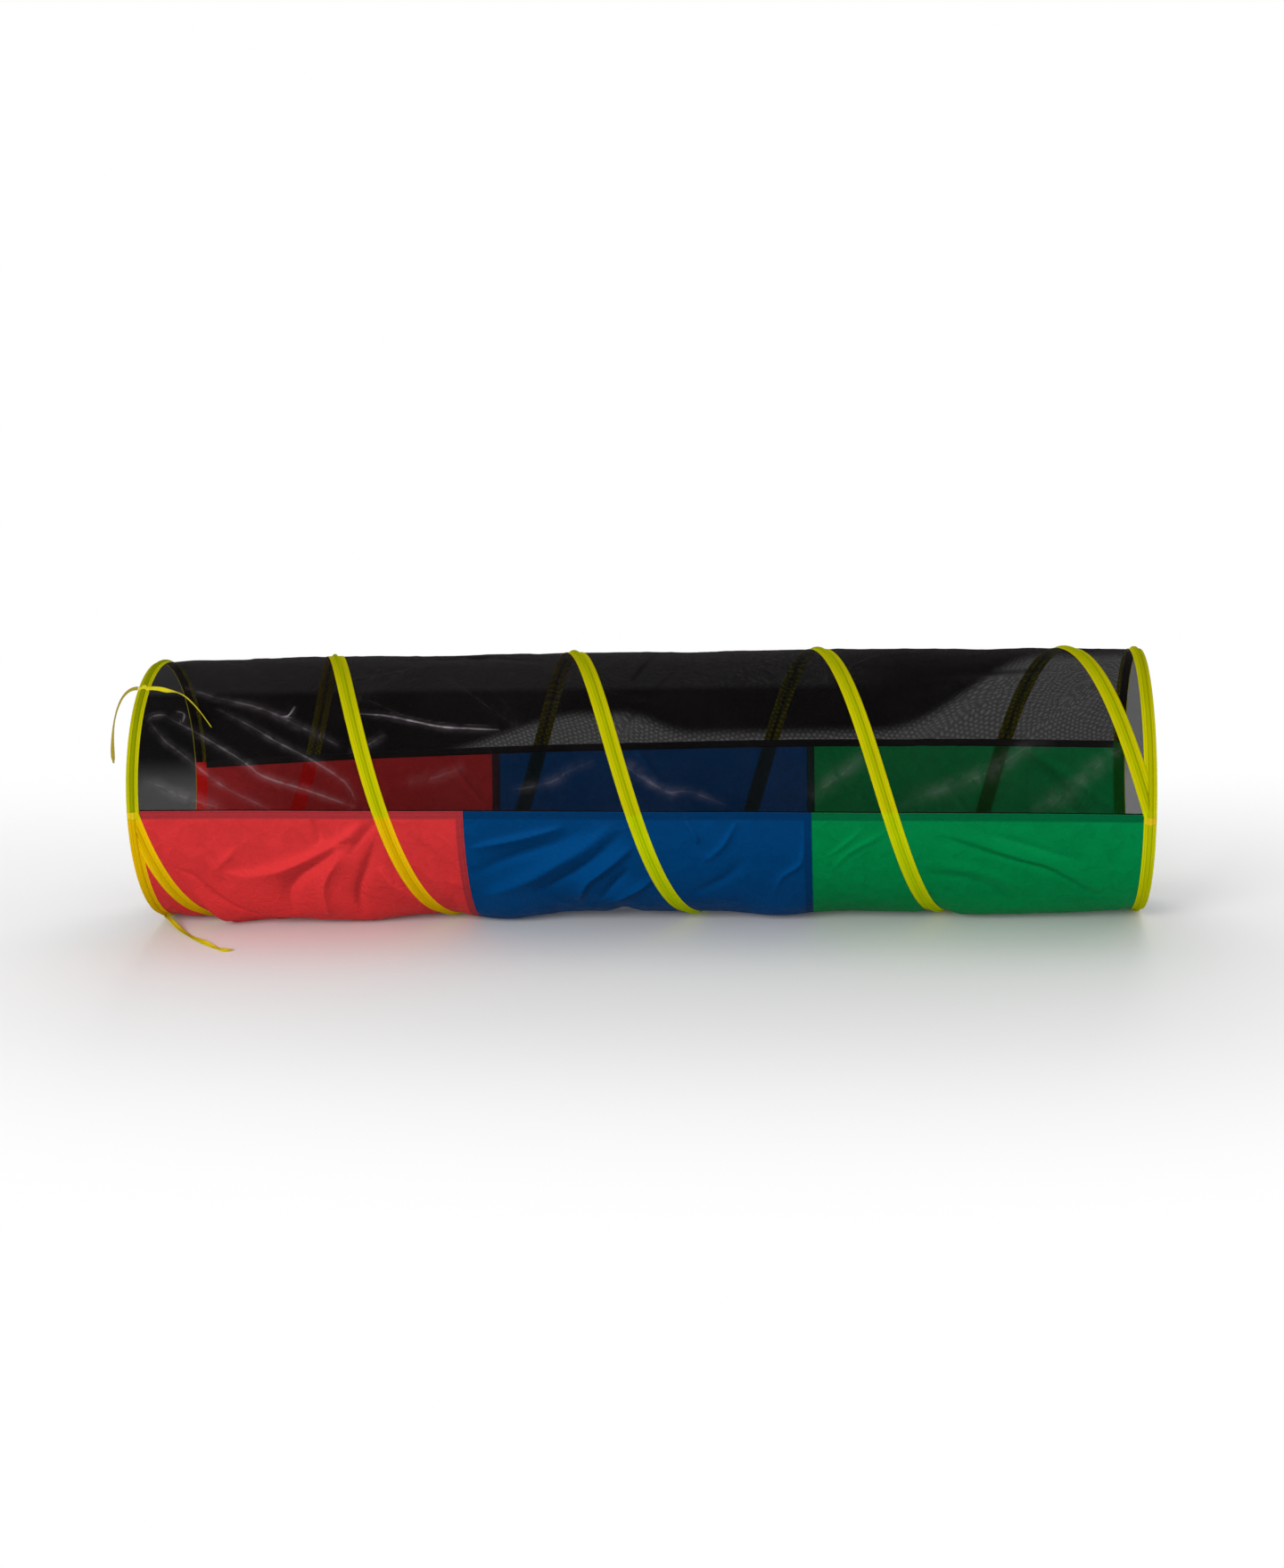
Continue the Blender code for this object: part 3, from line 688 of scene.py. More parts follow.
def thicken(piece: Piece, thickness: float) -> None:
    """Gives a sheet its thickness, half to each side."""
    solid = piece.modifiers.new("thickness", "SOLIDIFY")
    solid.thickness = thickness
    solid.offset = 0.0
    settle(piece)


def finish_piece(
    piece: Piece,
    material: Material,
    slot: str,
    body: str,
    stands_for: tuple[str, ...] = (),
    folds_to: float | None = None,
) -> None:
    """Dresses a piece and ties it to the frame.

    Args:
        piece: the finished mesh object.
        material: its finish.
        slot: the record's material slot; not used.
        body: the body that it rides on.
        stands_for: the frame's nodes that it takes the place of.
        folds_to: the place along X that it is pressed flat to, if it folds; here only whether it is given
            counts, and such a piece gets a mesh of its own.
    """
    piece.data.materials.clear()
    piece.data.materials.append(material)
    piece.data.shade_smooth()
    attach(piece, body)
    if stands_for:
        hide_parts(*stands_for)
    if folds_to is not None:
        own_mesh(piece)
    LOG.info("%s: %d faces on %s", piece.name, len(piece.data.polygons), body)


def roll_cloth(
    name: str,
    lay: ClothLay,
    span: Pair,
    first: Callable[[Places], Places],
    last: Callable[[Places], Places],
    inset: float = 0.0,
    cell: float = 0.0034,
    creases: tuple[Crease, ...] = (),
) -> Piece:
    """Rolls a flat sheet of cloth round the sleeve.

    Args:
        name: the piece's name.
        lay: the folds that it follows.
        span: where it starts and ends along X.
        first: the turn of its first edge at places along the tunnel.
        last: the turn of its last edge.
        inset: how far it lies inside the cloth's own outer face.
        cell: the grid's spacing in metres.
        creases: the creases whose painted sheen shows on it.

    Returns:
        The sheet, one face thick, with a UV map in metres: along X, and round
        the sleeve from its first edge.
    """
    sleeve = lay.sleeve
    start, end = span
    middle = (start + end) / 2
    breadth = float(lay.arc(last(middle) - first(middle)))
    shape = flat_grid(max(2, round((end - start) / cell)), max(3, round(breadth / cell)))
    bmesh.ops.reverse_faces(shape, faces=shape.faces)
    piece = new_piece(name, shape)
    unit = read_places(piece.data)
    along = start + (end - start) * unit[:, 0]
    turn = first(along) + (last(along) - first(along)) * unit[:, 1]
    radius = sleeve.cloth - inset + lay.offset(along, turn)
    write_places(piece.data, sleeve.places(along, turn, radius))
    write_uv(piece.data, np.stack((along, lay.arc(turn - first(along))), axis=-1))
    write_values(piece.data, "relief", lay.relief(along, turn) / FULL_RELIEF)
    # The tilt steers the painted highlight and shade on the panels' folds.
    write_values(piece.data, "tilt", lay.tilt(along, turn) / FULL_TILT)
    if creases:
        for mark, values in lay.painted_crease_sheen(creases, along, turn).items():
            write_values(piece.data, mark, values)
    return piece


STITCH_PITCH = 0.0040
STITCH_FILL = 0.78
STITCH_WIDTH = 0.00055
STITCH_RISE = 0.00045


def stitch_row(length: float, pitch: float) -> Shape:
    """A flat row of small rounded stitches along X, from zero to a length."""
    shape = bmesh.new()
    bmesh.ops.create_icosphere(shape, subdivisions=1, radius=0.5)
    bmesh.ops.scale(shape, vec=(pitch * STITCH_FILL, STITCH_WIDTH, STITCH_RISE), verts=shape.verts)
    bmesh.ops.translate(shape, vec=(pitch / 2, 0.0, 0.0), verts=shape.verts)
    made = 1
    while made * pitch < length:
        copied = bmesh.ops.duplicate(shape, geom=shape.verts[:] + shape.edges[:] + shape.faces[:])
        moved = [item for item in copied["geom"] if isinstance(item, bmesh.types.BMVert)]
        bmesh.ops.translate(shape, vec=(made * pitch, 0.0, 0.0), verts=moved)
        made *= 2
    whole = math.floor(length / pitch) * pitch
    surplus = [vert for vert in shape.verts if vert.co.x > whole]
    bmesh.ops.delete(shape, geom=surplus, context="VERTS")
    return shape


Wrap = Callable[[Places, Places, Places], Places]


@dataclass(frozen=True)
class StitchLine:
    """One row of stitches: its length, and how its flat (along, across, height) places are laid."""

    length: float
    wrap: Wrap


def sew(name: str, lines: list[StitchLine]) -> Piece:
    """Makes one piece of some rows of stitches."""
    whole = bmesh.new()
    for line in lines:
        row = stitch_row(line.length, STITCH_PITCH)
        scrap = bpy.data.meshes.new(name)
        row.to_mesh(scrap)
        row.free()
        flat = read_places(scrap)
        write_places(scrap, line.wrap(flat[:, 0], flat[:, 1], flat[:, 2]))
        whole.from_mesh(scrap)
        bpy.data.meshes.remove(scrap)
    bmesh.ops.recalc_face_normals(whole, faces=whole.faces)
    return new_piece(name, whole)


@dataclass(frozen=True)
class FloorPanel:
    """One coloured floor panel: the lower half of a third of the sleeve, with its sewn edges."""

    lay: ClothLay
    bay: Bay
    span: Pair
    folds_to: float
    material: Material
    thread: Material
    thickness: float = 0.0005
    stitch_rows: tuple[float, ...] = (0.0030, 0.0100)

    @property
    def sewn_end(self) -> bool:
        """Whether the panel's right edge is sewn to the next panel."""
        return self.bay is not Bay.GREEN

    def on_face(self, along: Places, turn: Places, height: Places) -> Places:
        """Places on the panel's outer face."""
        radius = self.lay.sleeve.cloth + self.thickness / 2 + self.lay.offset(along, turn)
        return self.lay.sleeve.places(along, turn, radius + height)

    def seam_line(self, depth: float, far: bool) -> StitchLine:
        """A row of stitches at some depth below a side seam."""
        seam, sign = (self.lay.sleeve.far_seam, -1) if far else (self.lay.sleeve.near_seam, 1)
        degrees = math.degrees(1.0 / self.lay.sleeve.cloth)
        clear = max(self.span[0], -self.lay.sleeve.binding_edge)
        stop = min(self.span[1], self.lay.sleeve.binding_edge)

        def wrap(along: Places, across: Places, height: Places) -> Places:
            """Lays flat places beside the side seam."""
            place = clear + along
            return self.on_face(place, seam(place) + sign * (depth + across) * degrees, height)

        return StitchLine(stop - clear, wrap)

    def joint_line(self, depth: float) -> StitchLine:
        """A row of stitches down the joint with the next panel."""
        sleeve = self.lay.sleeve
        place = self.span[1] - depth
        start, end = float(sleeve.near_seam(place)), float(sleeve.far_seam(place))
        degrees = math.degrees(1.0 / sleeve.cloth)

        def wrap(along: Places, across: Places, height: Places) -> Places:
            """Lays flat places down the joint."""
            return self.on_face(place + across, start + along * degrees, height)

        return StitchLine((end - start) / degrees, wrap)

    def build(self) -> None:
        """Makes the panel and its stitching."""
        sleeve = self.lay.sleeve
        cloth = roll_cloth(
            f"{self.bay.value}_panel_cloth",
            self.lay,
            self.span,
            sleeve.near_seam,
            sleeve.far_seam,
            self.thickness / 2,
        )
        thicken(cloth, self.thickness)
        finish_piece(cloth, self.material, self.bay.slot, self.bay.body, (self.bay.node,), self.folds_to)
        lines = [self.seam_line(depth, far) for depth in self.stitch_rows for far in (False, True)]
        if self.sewn_end:
            lines += [self.joint_line(depth) for depth in self.stitch_rows]
        stitches = sew(f"{self.bay.value}_panel_stitching", lines)
        finish_piece(stitches, self.thread, self.bay.slot, self.bay.body, (), self.folds_to)
        breadth = float(self.lay.arc(sleeve.far_seam(0.0) - sleeve.near_seam(0.0)))


@dataclass(frozen=True)
class MeshRoof:
    """The black net over the upper half of the sleeve, one open sheet."""

    lay: ClothLay
    material: Material
    folds_to: float
    hem: float = 0.0015
    inset: float = 0.0003
    cell: float = 0.0038

    def build(self) -> None:
        """Makes the roof."""
        sleeve = self.lay.sleeve
        reach = sleeve.end - self.hem
        net = roll_cloth(
            "roof_net",
            self.lay,
            (-reach, reach),
            sleeve.far_seam,
            lambda along: sleeve.near_seam(along) + FULL_TURN,
            self.inset,
            self.cell,
            NET_CREASES + hidden_creases(sleeve),
        )
        finish_piece(net, self.material, "black_mesh", End.LEFT.body, ("mesh_roof",), self.folds_to)
        breadth = float(self.lay.arc(FULL_TURN + sleeve.near_seam(0.0) - sleeve.far_seam(0.0)))


@dataclass(frozen=True)
class SeamStrips:
    """The black strips sewn inside over the side seams and over the panels' joints."""

    lay: ClothLay
    material: Material
    joint_materials: tuple[Material, Material]
    joints: Pair
    folds_to: dict[str, float]
    thickness: float = 0.0004
    inset: float = 0.0009
    over_net: float = 0.002
    over_panel: float = 0.012
    joint_width: float = 0.0135
    joint_cell: float = 0.004

    def build(self) -> None:
        """Makes the four strips."""
        sleeve = self.lay.sleeve
        degrees = math.degrees(1.0 / sleeve.cloth)
        up, down = self.over_net * degrees, self.over_panel * degrees
        edges = {
            "near_seam_strip": (
                lambda along: sleeve.near_seam(along) - up,
                lambda along: sleeve.near_seam(along) + down,
            ),
            "far_seam_strip": (
                lambda along: sleeve.far_seam(along) - down,
                lambda along: sleeve.far_seam(along) + up,
            ),
        }
        reach = sleeve.binding_edge
        for node, (first, last) in edges.items():
            strip = roll_cloth(f"{node}_tape", self.lay, (-reach, reach), first, last, self.inset)
            thicken(strip, self.thickness)
            finish_piece(strip, self.material, "black_strip", End.LEFT.body, (node,), self.folds_to["sides"])
        nodes = ("red_blue_joint_strip", "blue_green_joint_strip")
        for node, joint, material in zip(nodes, self.joints, self.joint_materials):
            strip = roll_cloth(
                f"{node}_tape",
                self.lay,
                (joint - self.joint_width, joint + self.over_net / 2),
                lambda along: sleeve.near_seam(along) + down,
                lambda along: sleeve.far_seam(along) - down,
                self.inset,
                self.joint_cell,
            )
            thicken(strip, self.thickness)
            finish_piece(strip, material, "black_strip", Bay.BLUE.body, (node,), self.folds_to["blue"])


def tape_blank(name: str, columns: int, rows: int) -> Piece:
    """A flat unit grid as a piece, for a tape whose places are worked out next."""
    return new_piece(name, flat_grid(columns, rows))


def along_profile(profile: Places, share: Places) -> Places:
    """The two rows of a profile's numbers that a blank's shares across its columns pick out."""
    return profile[np.rint(share * (len(profile) - 1)).astype(int)].T


def weld(piece: Piece, capped: bool = False) -> None:
    """Joins the edges where a rolled grid meets itself, and closes its open ends if it is capped."""
    shape = bmesh.new()
    shape.from_mesh(piece.data)
    bmesh.ops.remove_doubles(shape, verts=shape.verts, dist=WELD_GAP)
    if capped:
        bmesh.ops.holes_fill(shape, edges=shape.edges, sides=0)
        bmesh.ops.recalc_face_normals(shape, faces=shape.faces)
    shape.to_mesh(piece.data)
    shape.free()


def trim_ends(piece: Piece, reach: float) -> None:
    """Cuts a piece off square at the same distance from the middle at both ends."""
    shape = bmesh.new()
    shape.from_mesh(piece.data)
    for side in (-1, 1):
        bmesh.ops.bisect_plane(
            shape,
            geom=shape.verts[:] + shape.edges[:] + shape.faces[:],
            plane_co=(side * reach, 0.0, 0.0),
            plane_no=(side, 0.0, 0.0),
            clear_outer=True,
        )
    shape.to_mesh(piece.data)
    shape.free()


@dataclass(frozen=True)
class CoilWire:
    """The spring wire under the coil tape, its ends laid beside the hoops."""

    sleeve: Sleeve
    material: Material
    folds_to: float
    diameter: float = 0.0025
    channel: float = 0.0044
    beside_hoop: float = 0.0014
    tail_turns: float = 1 / 38
    sides: int = 8
    steps_each_turn: int = 96

    def build(self) -> None:
        """Makes the wire."""
        sleeve = self.sleeve
        run = sleeve.turns + 2 * self.tail_turns
        wire = tape_blank("coil_spring_wire", self.sides, round(self.steps_each_turn * run))
        unit = read_places(wire.data)
        angle = 2 * math.pi * unit[:, 0]
        turns = run * unit[:, 1] - self.tail_turns
        reach = sleeve.ring - self.beside_hoop
        along = np.clip(sleeve.pitch * turns - sleeve.ring, -reach, reach)
        along = along + self.diameter / 2 * np.cos(angle) / math.cos(sleeve.slant)
        radius = sleeve.cloth + self.channel / 2 + self.diameter / 2 * np.sin(angle)
        write_places(wire.data, sleeve.places(along, turns * FULL_TURN, radius))
        weld(wire, capped=True)
        finish_piece(wire, self.material, "spring_steel", End.LEFT.body, ("coil_wire",), self.folds_to)


@dataclass(frozen=True)
class CoilTape:
    """The yellow tape that holds the coil wire to the sleeve, wound on with it.

    The profile is half of its section: distance from its middle, and height of
    the middle of its thickness over the cloth, in metres.
    """

    sleeve: Sleeve
    material: Material
    thread: Material
    folds_to: float
    half_profile: tuple[Pair, ...] = (
        (0.0, 0.00463),
        (0.0010, 0.00450),
        (0.0018, 0.00385),
        (0.0024, 0.00285),
        (0.0030, 0.00170),
        (0.0040, 0.00090),
        (0.0056, 0.00062),
        (0.0080, 0.00058),
        (0.0110, 0.00062),
        (0.0138, 0.00050),
    )
    thickness: float = 0.0005
    steps_each_turn: int = 132
    lead: float = 0.03
    stitch_rows: tuple[float, ...] = (-0.0074, 0.0074)
    row_height: float = 0.0009
    lap: float = 0.0070
    lap_lift: float = 0.0007
    lap_ramp: float = 0.004

    @property
    def turn_length(self) -> float:
        """The length of tape in one turn."""
        return 2 * math.pi * self.sleeve.cloth / math.cos(self.sleeve.slant)

    def along(self, across: Places, turns: Places) -> Places:
        """Where flat places of the tape come to lie along X."""
        return -self.sleeve.ring + self.sleeve.pitch * turns + across / math.cos(self.sleeve.slant)

    def wind(self, across: Places, turns: Places, height: Places) -> Places:
        """Winds flat places of the tape onto the coil's line."""
        along = self.along(across, turns)
        return self.sleeve.places(along, turns * FULL_TURN, self.sleeve.cloth + height)

    def stitches(self, row: float) -> StitchLine:
        """A row of stitches along the tape."""
        start = self.lead

        def wrap(along: Places, across: Places, height: Places) -> Places:
            """Winds flat places on with the tape."""
            return self.wind(row + across, start + along / self.turn_length, self.row_height + height)

        return StitchLine((self.sleeve.turns - 2 * start) * self.turn_length, wrap)

    def build(self) -> None:
        """Makes the tape and its stitching."""
        profile = np.array([(-a, h) for a, h in reversed(self.half_profile[1:])] + list(self.half_profile))
        run = self.sleeve.turns + 2 * self.lead
        rows = round(self.steps_each_turn * run)
        tape = tape_blank("coil_tape_band", len(profile) - 1, rows)
        unit = read_places(tape.data)
        across, height = along_profile(profile, unit[:, 0])
        turns = -self.lead + run * unit[:, 1]
        edge = self.sleeve.binding_edge
        lift = self.lap_lift * ease(np.abs(self.along(across, turns)), edge - self.lap_ramp, edge)
        write_places(tape.data, self.wind(across, turns, height + lift))
        write_uv(tape.data, np.stack((turns * self.turn_length, across), axis=-1))
        trim_ends(tape, edge + self.lap)
        thicken(tape, self.thickness)
        finish_piece(tape, self.material, "yellow_tape", End.LEFT.body, ("coil_tape",), self.folds_to)
        stitches = sew("coil_tape_stitching", [self.stitches(row) for row in self.stitch_rows])
        finish_piece(stitches, self.thread, "yellow_tape", End.LEFT.body, (), self.folds_to)


BINDING_RIDGE = (
    (0.0064, 0.00060),
    (0.0048, 0.00100),
    (0.0040, 0.00200),
    (0.0034, 0.00320),
    (0.0026, 0.00418),
    (0.0014, 0.00458),
)


@dataclass(frozen=True)
class EndBinding:
    """The yellow binding of one end, folded over the hoop wire and round the sleeve's edge.

    It has no leaf inside the sleeve, because the photograph shows bare cloth
    there. The profile is its whole section: distance from the hoop towards the
    tunnel's middle, and height of the middle of its thickness over the cloth.
    """

    sleeve: Sleeve
    end: End
    material: Material
    lap_material: Material
    thread: Material
    lap_turn: float
    profile: tuple[Pair, ...] = (
        (0.0110, 0.00050),
        (0.0090, 0.00062),
        *BINDING_RIDGE,
        (0.0, 0.00463),
        *((-place, height) for place, height in reversed(BINDING_RIDGE)),
        (-0.0092, 0.00058),
        (-0.0103, 0.00030),
        (-0.01072, -0.00030),
    )
    thickness: float = 0.0005
    steps: int = 180
    stitch_rows: tuple[float, ...] = (0.0078, -0.0078)
    row_height: float = 0.0009
    lap_length: float = 0.0135
    lap_lift: float = 0.0006
    lap_reach: float = 0.0104
    outer_leaf: int = 17
    patch_cells: tuple[int, int] = (16, 8)

    def wrap(self, inward: Places, turn: Places, height: Places) -> Places:
        """Wraps flat places of the binding round the hoop."""
        along = self.end.value * (self.sleeve.ring - inward)
        return self.sleeve.places(along, turn, self.sleeve.cloth + height)

    def stitches(self, row: float) -> StitchLine:
        """A row of stitches round the binding."""
        degrees = math.degrees(1.0 / self.sleeve.cloth)

        def wrap(along: Places, across: Places, height: Places) -> Places:
            """Lays flat places round the binding."""
            return self.wrap(row + across, along * degrees, height + self.row_height)

        return StitchLine(2 * math.pi * self.sleeve.cloth, wrap)

    def band(self) -> Piece:
        """The binding itself, once round the hoop and closed on itself."""
        profile = np.array(self.profile)
        band = tape_blank(f"{self.end.label}_binding_band", len(profile) - 1, self.steps)
        unit = read_places(band.data)
        inward, height = along_profile(profile, unit[:, 0])
        turn = FULL_TURN * unit[:, 1]
        write_places(band.data, self.wrap(inward, turn, height))
        write_uv(band.data, np.stack((np.radians(turn) * self.sleeve.cloth, inward), axis=-1))
        weld(band)
        thicken(band, self.thickness)
        return band

    def patch(
        self,
        name: str,
        inward: Pair,
        turns: Pair,
        lift: float,
        thickness: float,
    ) -> Piece:
        """A piece of tape that lies on the binding and follows its ridge.

        Args:
            name: the piece's name.
            inward: where it starts and ends across the binding, towards the tunnel's middle.
            turns: where it starts and ends, in degrees past the near side.
            lift: how far it lies over the binding.
            thickness: its own thickness.

        Returns:
            The patch as a thin solid.
        """
        leaf = np.array(sorted(self.profile[: self.outer_leaf]))
        patch = tape_blank(name, *self.patch_cells)
        unit = read_places(patch.data)
        place = inward[0] + (inward[1] - inward[0]) * unit[:, 0]
        turn = turns[0] + (turns[1] - turns[0]) * unit[:, 1]
        height = np.interp(place, leaf[:, 0], leaf[:, 1]) + lift
        write_places(patch.data, self.wrap(place, turn, height))
        write_uv(patch.data, np.stack((np.radians(turn) * self.sleeve.cloth, place), axis=-1))
        thicken(patch, thickness)
        return patch

    def build(self) -> None:
        """Makes the binding, its stitching and the lapped end of its tape."""
        label, body = self.end.label, self.end.body
        ring = self.band()
        finish_piece(ring, self.material, "yellow_tape", body, (f"{label}_end_binding",))
        stitches = sew(f"{label}_binding_stitching", [self.stitches(row) for row in self.stitch_rows])
        finish_piece(stitches, self.thread, "yellow_tape", body)
        degrees = math.degrees(self.lap_length / self.sleeve.cloth)
        lap = self.patch(
            f"{label}_binding_lap",
            (-self.lap_reach, self.lap_reach),
            (self.lap_turn, self.lap_turn + degrees),
            self.lap_lift,
            self.thickness,
        )
        finish_piece(lap, self.lap_material, "yellow_tape", body)


# Each point of a tie's route gives its place, and the turn of the tape about the route in degrees.
TOP_OUTER_ROUTE = (
    (-0.9003, -0.1062, 0.4502, -28),
    (-0.9080, -0.1066, 0.4495, -27),
    (-0.9160, -0.1074, 0.4462, -24),
    (-0.9235, -0.1086, 0.4402, -20),
    (-0.9302, -0.1100, 0.4318, -16),
    (-0.9358, -0.1116, 0.4214, -12),
    (-0.9406, -0.1132, 0.4096, -9),
    (-0.9444, -0.1146, 0.3966, -6),
    (-0.9474, -0.1158, 0.3830, -8),
    (-0.9496, -0.1168, 0.3690, -12),
    (-0.9512, -0.1176, 0.3548, -17),
    (-0.9522, -0.1182, 0.3406, -21),
    (-0.9526, -0.1186, 0.3270, -22),
    (-0.9524, -0.1188, 0.3150, -20),
)
TOP_ROOF_ROUTE = (
    (-0.8777, -0.1062, 0.4502, 28),
    (-0.8700, -0.1066, 0.4500, 28),
    (-0.8620, -0.1080, 0.4494, 29),
    (-0.8530, -0.1106, 0.4482, 30),
    (-0.8440, -0.1142, 0.4466, 26),
    (-0.8350, -0.1186, 0.4460, 8),
    (-0.8260, -0.1240, 0.4455, -16),
    (-0.8170, -0.1302, 0.4442, -34),
    (-0.8075, -0.1374, 0.4412, -46),
    (-0.7980, -0.1454, 0.4366, -52),
    (-0.7880, -0.1540, 0.4304, -54),
    (-0.7780, -0.1628, 0.4230, -54),
    (-0.7680, -0.1716, 0.4146, -52),
    (-0.7585, -0.1800, 0.4054, -50),
    (-0.7490, -0.1880, 0.3956, -48),
)
LOW_ROUTE = (
    (-0.8850, -0.0868, 0.0152, 0),
    (-0.8849, -0.0905, 0.0164, 0),
    (-0.8834, -0.0945, 0.0170, 0),
    (-0.8804, -0.0988, 0.0168, 0),
    (-0.8756, -0.1044, 0.0158, 0),
    (-0.8690, -0.1130, 0.0138, 2),
    (-0.8627, -0.1209, 0.0114, 4),
    (-0.8565, -0.1282, 0.0090, 4),
    (-0.8499, -0.1360, 0.0068, 2),
    (-0.8429, -0.1441, 0.0050, -4),
    (-0.8355, -0.1523, 0.0036, -9),
    (-0.8264, -0.1629, 0.0028, -12),
    (-0.8169, -0.1742, 0.0024, -8),
    (-0.8074, -0.1851, 0.0024, 2),
    (-0.7969, -0.1967, 0.0030, 14),
    (-0.7865, -0.2084, 0.0036, 20),
    (-0.7766, -0.2185, 0.0034, 16),
    (-0.7668, -0.2282, 0.0026, 6),
    (-0.7582, -0.2364, 0.0020, -6),
    (-0.7497, -0.2443, 0.0020, -6),
    (-0.7415, -0.2510, 0.0026, 12),
    (-0.7344, -0.2538, 0.0028, 16),
    (-0.7279, -0.2509, 0.0020, 6),
    (-0.7206, -0.2475, 0.0014, 0),
)


@dataclass(frozen=True)
class TieTail:
    """A loose flat tail of a tie.

    The route is a list: each point's place in metres, and the turn
    of the flat tape about its own route, in degrees.
    """

    name: str
    node: str
    route: tuple[tuple[float, float, float, float], ...]
    length: float
    material: Material
    folds_to: float | None = None
    width: float = 0.010
    thickness: float = 0.0006
    cup: float = 0.0006
    steps_each_point: int = 6
    columns: int = 8
    tip: float = 0.012
    tip_loss: float = 0.6
    cup_ramp: float = 0.02
    steep_share: float = 0.06

    def sides(self, stops: Places) -> Places:
        """The direction across the tape at each stop of the route."""
        ahead = np.gradient(stops[:, :3], axis=0)
        sides = []
        level = None
        for step, turn in zip(ahead, stops[:, 3]):
            flat = Vector((-step[1], step[0], 0.0))
            if level is None or flat.length > self.steep_share * np.linalg.norm(step):
                flat.normalize()
                level = -flat if level is not None and flat.dot(level) < 0 else flat
            sides.append(Matrix.Rotation(math.radians(turn), 3, Vector(step)) @ level)
        return np.array(sides)

    def build(self) -> None:
        """Makes the tail."""
        stops = smooth_curve(np.array(self.route), self.steps_each_point)
        sides = self.sides(stops)
        ahead = np.gradient(stops[:, :3], axis=0)
        out = np.cross(ahead, sides)
        out /= np.linalg.norm(out, axis=1)[:, None]
        runs = np.concatenate(([0.0], np.cumsum(np.linalg.norm(np.diff(stops[:, :3], axis=0), axis=1))))
        tail = tape_blank(self.name, self.columns, len(stops) - 1)
        unit = read_places(tail.data)
        stop = np.rint(unit[:, 1] * (len(stops) - 1)).astype(int)
        share = 2 * unit[:, 0] - 1
        taper = 1 - self.tip_loss * (1 - ease(runs[-1] - runs[stop], 0.0, self.tip))
        across = share * taper * self.width / 2
        lift = self.cup * (share**2 - 0.5) * ease(runs[stop], 0.0, self.cup_ramp)
        places = stops[stop, :3] + sides[stop] * across[:, None] + out[stop] * lift[:, None]
        write_places(tail.data, places)
        write_uv(tail.data, np.stack((runs[stop], across), axis=-1))
        thicken(tail, self.thickness)
        finish_piece(
            tail, self.material, "tie_tape", End.LEFT.body, (self.node,), self.folds_to
        )
        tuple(self.route[0][:3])


@dataclass(frozen=True)
class Ties:
    """The two ties of the left end: what is sewn to the binding, and the loose tails."""

    binding: EndBinding
    material: Material
    # The darker copy of the tie tape: painted shade for the outer tail.
    painted_shade_material: Material
    folds_to: float
    width: float = 0.010
    thickness: float = 0.0007
    top_turn: float = -63.3
    low_turn: float = 71.0
    low_length: float = 0.018
    top_reach: Pair = (-0.0106, 0.0108)
    low_reach: Pair = (-0.0010, 0.0090)
    lift: float = 0.0008

    def build(self) -> None:
        """Makes the ties."""
        degrees = math.degrees(1.0 / self.binding.sleeve.cloth)
        half = self.width / 2 * degrees
        top = self.binding.patch(
            "top_tie_sewn_part",
            self.top_reach,
            (self.top_turn - half, self.top_turn + half),
            self.lift,
            self.thickness,
        )
        finish_piece(top, self.material, "tie_tape", End.LEFT.body, ("top_tie_tack",))
        half = self.low_length / 2 * degrees
        low = self.binding.patch(
            "low_tie_sewn_part",
            self.low_reach,
            (self.low_turn - half, self.low_turn + half),
            self.lift,
            self.thickness,
        )
        finish_piece(low, self.material, "tie_tape", End.LEFT.body, ("low_tie_tack",))
        for tail in (
            # The outer tail takes a darker copy of the tie tape, as painted shade for its shaded side.
            TieTail("top_tie_outer_ribbon", "top_tie_outer_tail", TOP_OUTER_ROUTE, 0.158, self.painted_shade_material),
            TieTail(
                "top_tie_roof_ribbon",
                "top_tie_roof_tail",
                TOP_ROOF_ROUTE,
                0.169,
                self.material,
                self.folds_to,
            ),
            TieTail("low_tie_ribbon", "low_tie_tail", LOW_ROUTE, 0.244, self.material),
        ):
            tail.build()


Colour = tuple[float, float, float, float]


def screen(red: float, green: float, blue: float) -> Colour:
    """A screen colour, 0 to 255 a channel, as the linear one that a shader takes."""
    shares = (value / 255 for value in (red, green, blue))
    lit = [s / 12.92 if s <= 0.04045 else ((s + 0.055) / 1.055) ** 2.4 for s in shares]
    return (*lit, 1.0)


def shade(colour: Colour, factor: float) -> Colour:
    """A colour made darker or lighter."""
    return (*(min(1.0, channel * factor) for channel in colour[:3]), 1.0)


WHITE: Colour = (1.0, 1.0, 1.0, 1.0)


@dataclass(frozen=True)
class Grain:
    """A fine relief of a finish: how strongly it shows, and how deep it is in metres."""

    strength: float
    depth: float


